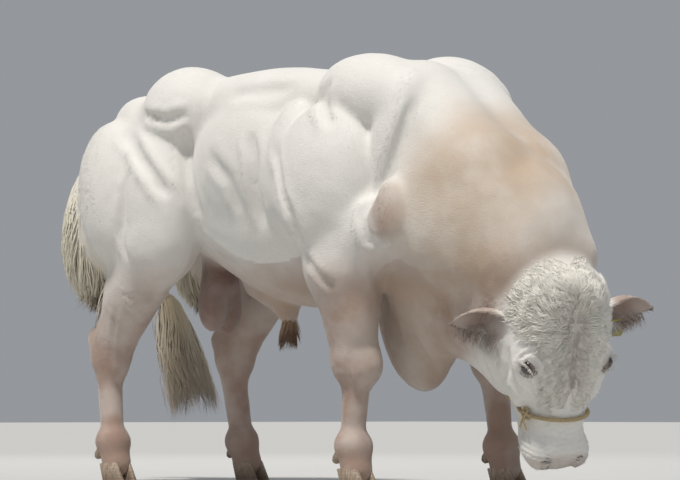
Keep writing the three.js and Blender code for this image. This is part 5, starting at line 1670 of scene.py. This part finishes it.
def skinMaterial():
    made, tree, shader = newMaterial("coatedSkin", 0.72, Sheen_Weight=0.25, Sheen_Roughness=0.5)
    tint = tree.nodes.new("ShaderNodeGroup")
    tint.node_tree = coatTintAndShade
    hair = noiseNode(tree, 1.0, 4.0, (70, 520, 430), (0, 22 * degree, 0))
    curl = noiseNode(tree, 26.0, 3.0)
    shade = mathNode(tree, "MULTIPLY", rampOf(tree, hair, 0.35, 0.65), 0.16)
    color = mixColor(tree, shade, tint.outputs["Color"], rgb(0.46, 0.40, 0.35))
    tree.links.new(color, shader.inputs["Base Color"])
    cell = tree.nodes.new("ShaderNodeTexVoronoi")
    cell.feature = "DISTANCE_TO_EDGE"
    cell.inputs["Scale"].default_value = 190
    place = tree.nodes.new("ShaderNodeTexCoord")
    tree.links.new(place.outputs["Object"], cell.inputs["Vector"])
    pebble = mathNode(tree, "MINIMUM", cell.outputs["Distance"], 0.25)
    pebble = mathNode(tree, "MULTIPLY", pebble, maskNode(tree, "nose"))
    height = mathNode(tree, "ADD", mathNode(tree, "MULTIPLY", hair, 0.55), mathNode(tree, "MULTIPLY", curl, 0.5))
    height = mathNode(tree, "ADD", height, mathNode(tree, "MULTIPLY", pebble, 2.5))
    bumpInto(tree, shader, height, 0.7, 0.004)
    return made


def furMaterial(name, root, tip, rough=0.62):
    made, tree, shader = newMaterial(name, rough, Sheen_Weight=0.15, Sheen_Roughness=0.45)
    tint = tree.nodes.new("ShaderNodeGroup")
    tint.node_tree = coatTintAndShade
    tint.inputs["White"].default_value = tip
    along = maskNode(tree, "along")
    # Painted shade at the roots: each tuft darkens towards the skin, where the coat shades its own depths.
    paintedRootShade = mathNode(tree, "MULTIPLY", rampOf(tree, along, 0.75, 0.0), root[3])
    color = mixColor(tree, paintedRootShade, tint.outputs["Color"], rgb(*root[:3]))
    vary = mathNode(tree, "MULTIPLY", maskNode(tree, "vary"), 0.14)
    color = mixColor(tree, vary, color, rgb(0.60, 0.54, 0.46))
    tree.links.new(color, shader.inputs["Base Color"])
    bumpInto(tree, shader, noiseNode(tree, 900.0, 1.0), 0.2, 0.0004)
    return made


def darkFurMaterial():
    made, tree, shader = newMaterial("darkTuft", 0.6)
    along = maskNode(tree, "along")
    color = mixColor(tree, rampOf(tree, along, 0.2, 0.9), rgb(0.42, 0.29, 0.20), rgb(0.15, 0.085, 0.05))
    color = mixColor(tree, mathNode(tree, "MULTIPLY", maskNode(tree, "vary"), 0.3), color, rgb(0.42, 0.30, 0.2))
    tree.links.new(color, shader.inputs["Base Color"])
    return made


def hornMaterial():
    made, tree, shader = newMaterial("horn", 0.5)
    rise = maskNode(tree, "rise")
    streak = noiseNode(tree, 1.0, 3.0, (210, 210, 24))
    ringed = noiseNode(tree, 1.0, 2.0, (16, 16, 260))
    color = mixColor(tree, rampOf(tree, rise, 0.15, 0.95), rgb(0.20, 0.145, 0.10), rgb(0.42, 0.33, 0.25))
    streaked = mathNode(tree, "MULTIPLY", rampOf(tree, streak, 0.4, 0.65), 0.5)
    color = mixColor(tree, streaked, color, rgb(0.10, 0.07, 0.05))
    color = mixColor(tree, mathNode(tree, "MULTIPLY", rampOf(tree, rise, 0.22, 0.0), 0.5), color, rgb(0.33, 0.29, 0.23))
    tree.links.new(color, shader.inputs["Base Color"])
    rough = mathNode(tree, "ADD", mathNode(tree, "MULTIPLY", ringed, 0.3), 0.36)
    tree.links.new(rough, shader.inputs["Roughness"])
    bumpInto(tree, shader, mathNode(tree, "ADD", ringed, mathNode(tree, "MULTIPLY", streak, 0.6)), 0.5, 0.0015)
    return made


def eyeMaterial():
    made, tree, shader = newMaterial("wetEye", 0.06, Coat_Weight=1.0, Coat_Roughness=0.02)
    rays = noiseNode(tree, 420.0, 2.0)
    iris = mixColor(tree, rampOf(tree, rays, 0.35, 0.7), rgb(0.022, 0.012, 0.007), rgb(0.05, 0.026, 0.013))
    color = mixColor(tree, maskNode(tree, "iris"), rgb(0.16, 0.12, 0.10), iris)
    color = mixColor(tree, maskNode(tree, "pupil"), color, rgb(0.006, 0.006, 0.008))
    tree.links.new(color, shader.inputs["Base Color"])
    return made


def cordMaterial():
    made, tree, shader = newMaterial("strawCord", 0.85)
    fibre = noiseNode(tree, 900.0, 3.0)
    color = mixColor(tree, rampOf(tree, fibre, 0.3, 0.7), rgb(0.30, 0.22, 0.11), rgb(0.56, 0.45, 0.27))
    tree.links.new(color, shader.inputs["Base Color"])
    bumpInto(tree, shader, fibre, 0.6, 0.0008)
    return made


def tagMaterial():
    made, tree, shader = newMaterial("tagPlastic", 0.42)
    wear = noiseNode(tree, 110.0, 4.0)
    worn = mathNode(tree, "MULTIPLY", rampOf(tree, wear, 0.5, 0.75), 0.5)
    color = mixColor(tree, worn, rgb(0.36, 0.33, 0.07), rgb(0.22, 0.19, 0.08))
    tree.links.new(color, shader.inputs["Base Color"])
    tree.links.new(mathNode(tree, "ADD", mathNode(tree, "MULTIPLY", wear, 0.3), 0.3), shader.inputs["Roughness"])
    bumpInto(tree, shader, wear, 0.2, 0.0006)
    return made


def floorMaterial():
    made, tree, shader = newMaterial("paleFloor", 0.9)
    grain = noiseNode(tree, 3.0, 2.0)
    color = mixColor(tree, grain, rgb(0.50, 0.50, 0.49), rgb(0.53, 0.53, 0.52))
    tree.links.new(color, shader.inputs["Base Color"])
    return made


white = rgb(0.80, 0.785, 0.75)
# Each fur's root colour and how strongly it darkens the roots, as painted shade; the tip colour is the coat's own.
materials = {
    "skin": skinMaterial(),
    "body": furMaterial("shortFur", (0.66, 0.61, 0.55, 0.22), white),
    "head": furMaterial("headFur", (0.38, 0.31, 0.22, 0.6), rgb(0.87, 0.85, 0.79)),
    "shag": furMaterial("shagFur", (0.66, 0.57, 0.40, 0.45), rgb(0.88, 0.85, 0.75)),
    "dark": darkFurMaterial(),
    "horn": hornMaterial(),
    "eye": eyeMaterial(),
    "cord": cordMaterial(),
    "tag": tagMaterial(),
}
skin.data.materials.clear()
skin.data.materials.append(materials["skin"])
skin.data.polygons.foreach_set("material_index", np.zeros(len(skin.data.polygons), np.int32))
coatFinish = {"headCurls": "head", "faceFur": "body", "shagRight": "shag", "shagLeft": "shag", "tailSwitch": "shag"}
coatFinish["sheathTuft"] = "dark"
for piece in coatPieces:
    piece.data.materials.append(materials[coatFinish.get(piece.name, "body")])
for piece in claws + dewclaws:
    piece.data.materials.append(materials["horn"])
for piece in eyes:
    piece.data.materials.append(materials["eye"])
nosebandCord.data.materials.append(materials["cord"])
earTag.data.materials.append(materials["tag"])

# Floor, world and lights.
floorReach = 60.0
floorCorners = np.array([[-1, -1, 0], [1, -1, 0], [1, 1, 0], [-1, 1, 0]], float) * floorReach
floor = newMesh("floor", floorCorners, [[0, 1, 2, 3]], False)
floor.data.materials.append(floorMaterial())
world = bpy.data.worlds.new("world")
world.use_nodes = True
world.node_tree.nodes["Background"].inputs["Color"].default_value = rgb(0.90, 0.94, 1.0)
world.node_tree.nodes["Background"].inputs["Strength"].default_value = 0.33
bpy.context.scene.world = world
lights = {
    "fill": {"place": [5.4, -0.6, 2.4], "size": 3.0, "power": 22, "color": (0.94, 0.97, 1.0)},
    "back": {"place": [-4.4, 3.0, 4.2], "size": 3.5, "power": 50, "color": (1.0, 1.0, 1.0)},
}
sunData = bpy.data.lights.new("key", "SUN")
sunData.energy, sunData.angle, sunData.color = 3.1, 9 * degree, (1.0, 0.97, 0.92)
sun = bpy.data.objects.new("key", sunData)
sun.rotation_euler = Vector((-0.7, 2.6, -6.0)).to_track_quat("-Z", "Y").to_euler()
bpy.context.scene.collection.objects.link(sun)
bpy.context.scene.view_settings.view_transform = "Standard"
for lightName, spec in lights.items():
    data = bpy.data.lights.new(lightName, "AREA")
    data.energy, data.size, data.color = spec["power"], spec["size"], spec["color"]
    lamp = bpy.data.objects.new(lightName, data)
    bpy.context.scene.collection.objects.link(lamp)
    lamp.location = spec["place"]
    lamp.rotation_euler = (Vector((0, 0, 0.8)) - Vector(spec["place"])).to_track_quat("-Z", "Y").to_euler()

# Bodies, and the nodes that each piece stands for.
skin.data.vertices.foreach_set("co", toScene(skinMm).astype(np.float32).ravel())
skin.data.update()
pieces = [skin, nosebandCord, earTag] + coatPieces + eyes + claws + dewclaws
for piece in pieces:
    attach(piece, "root")
apart = ("claw", "eye", "noseband", "ear_tag", "tail_switch", "sheath_tuft")
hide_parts(*[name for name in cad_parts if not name.startswith(apart)])
for side in ("Right", "Left"):
    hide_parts("eye_" + side.lower())
    for end in ("Fore", "Hind"):
        for part in ("Outer", "Inner"):
            node = "claw_" + end.lower() + "_" + side.lower() + "_" + part.lower()
            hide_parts(node)
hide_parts("noseband")
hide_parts("ear_tag")
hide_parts("tail_switch")
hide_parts("sheath_tuft")
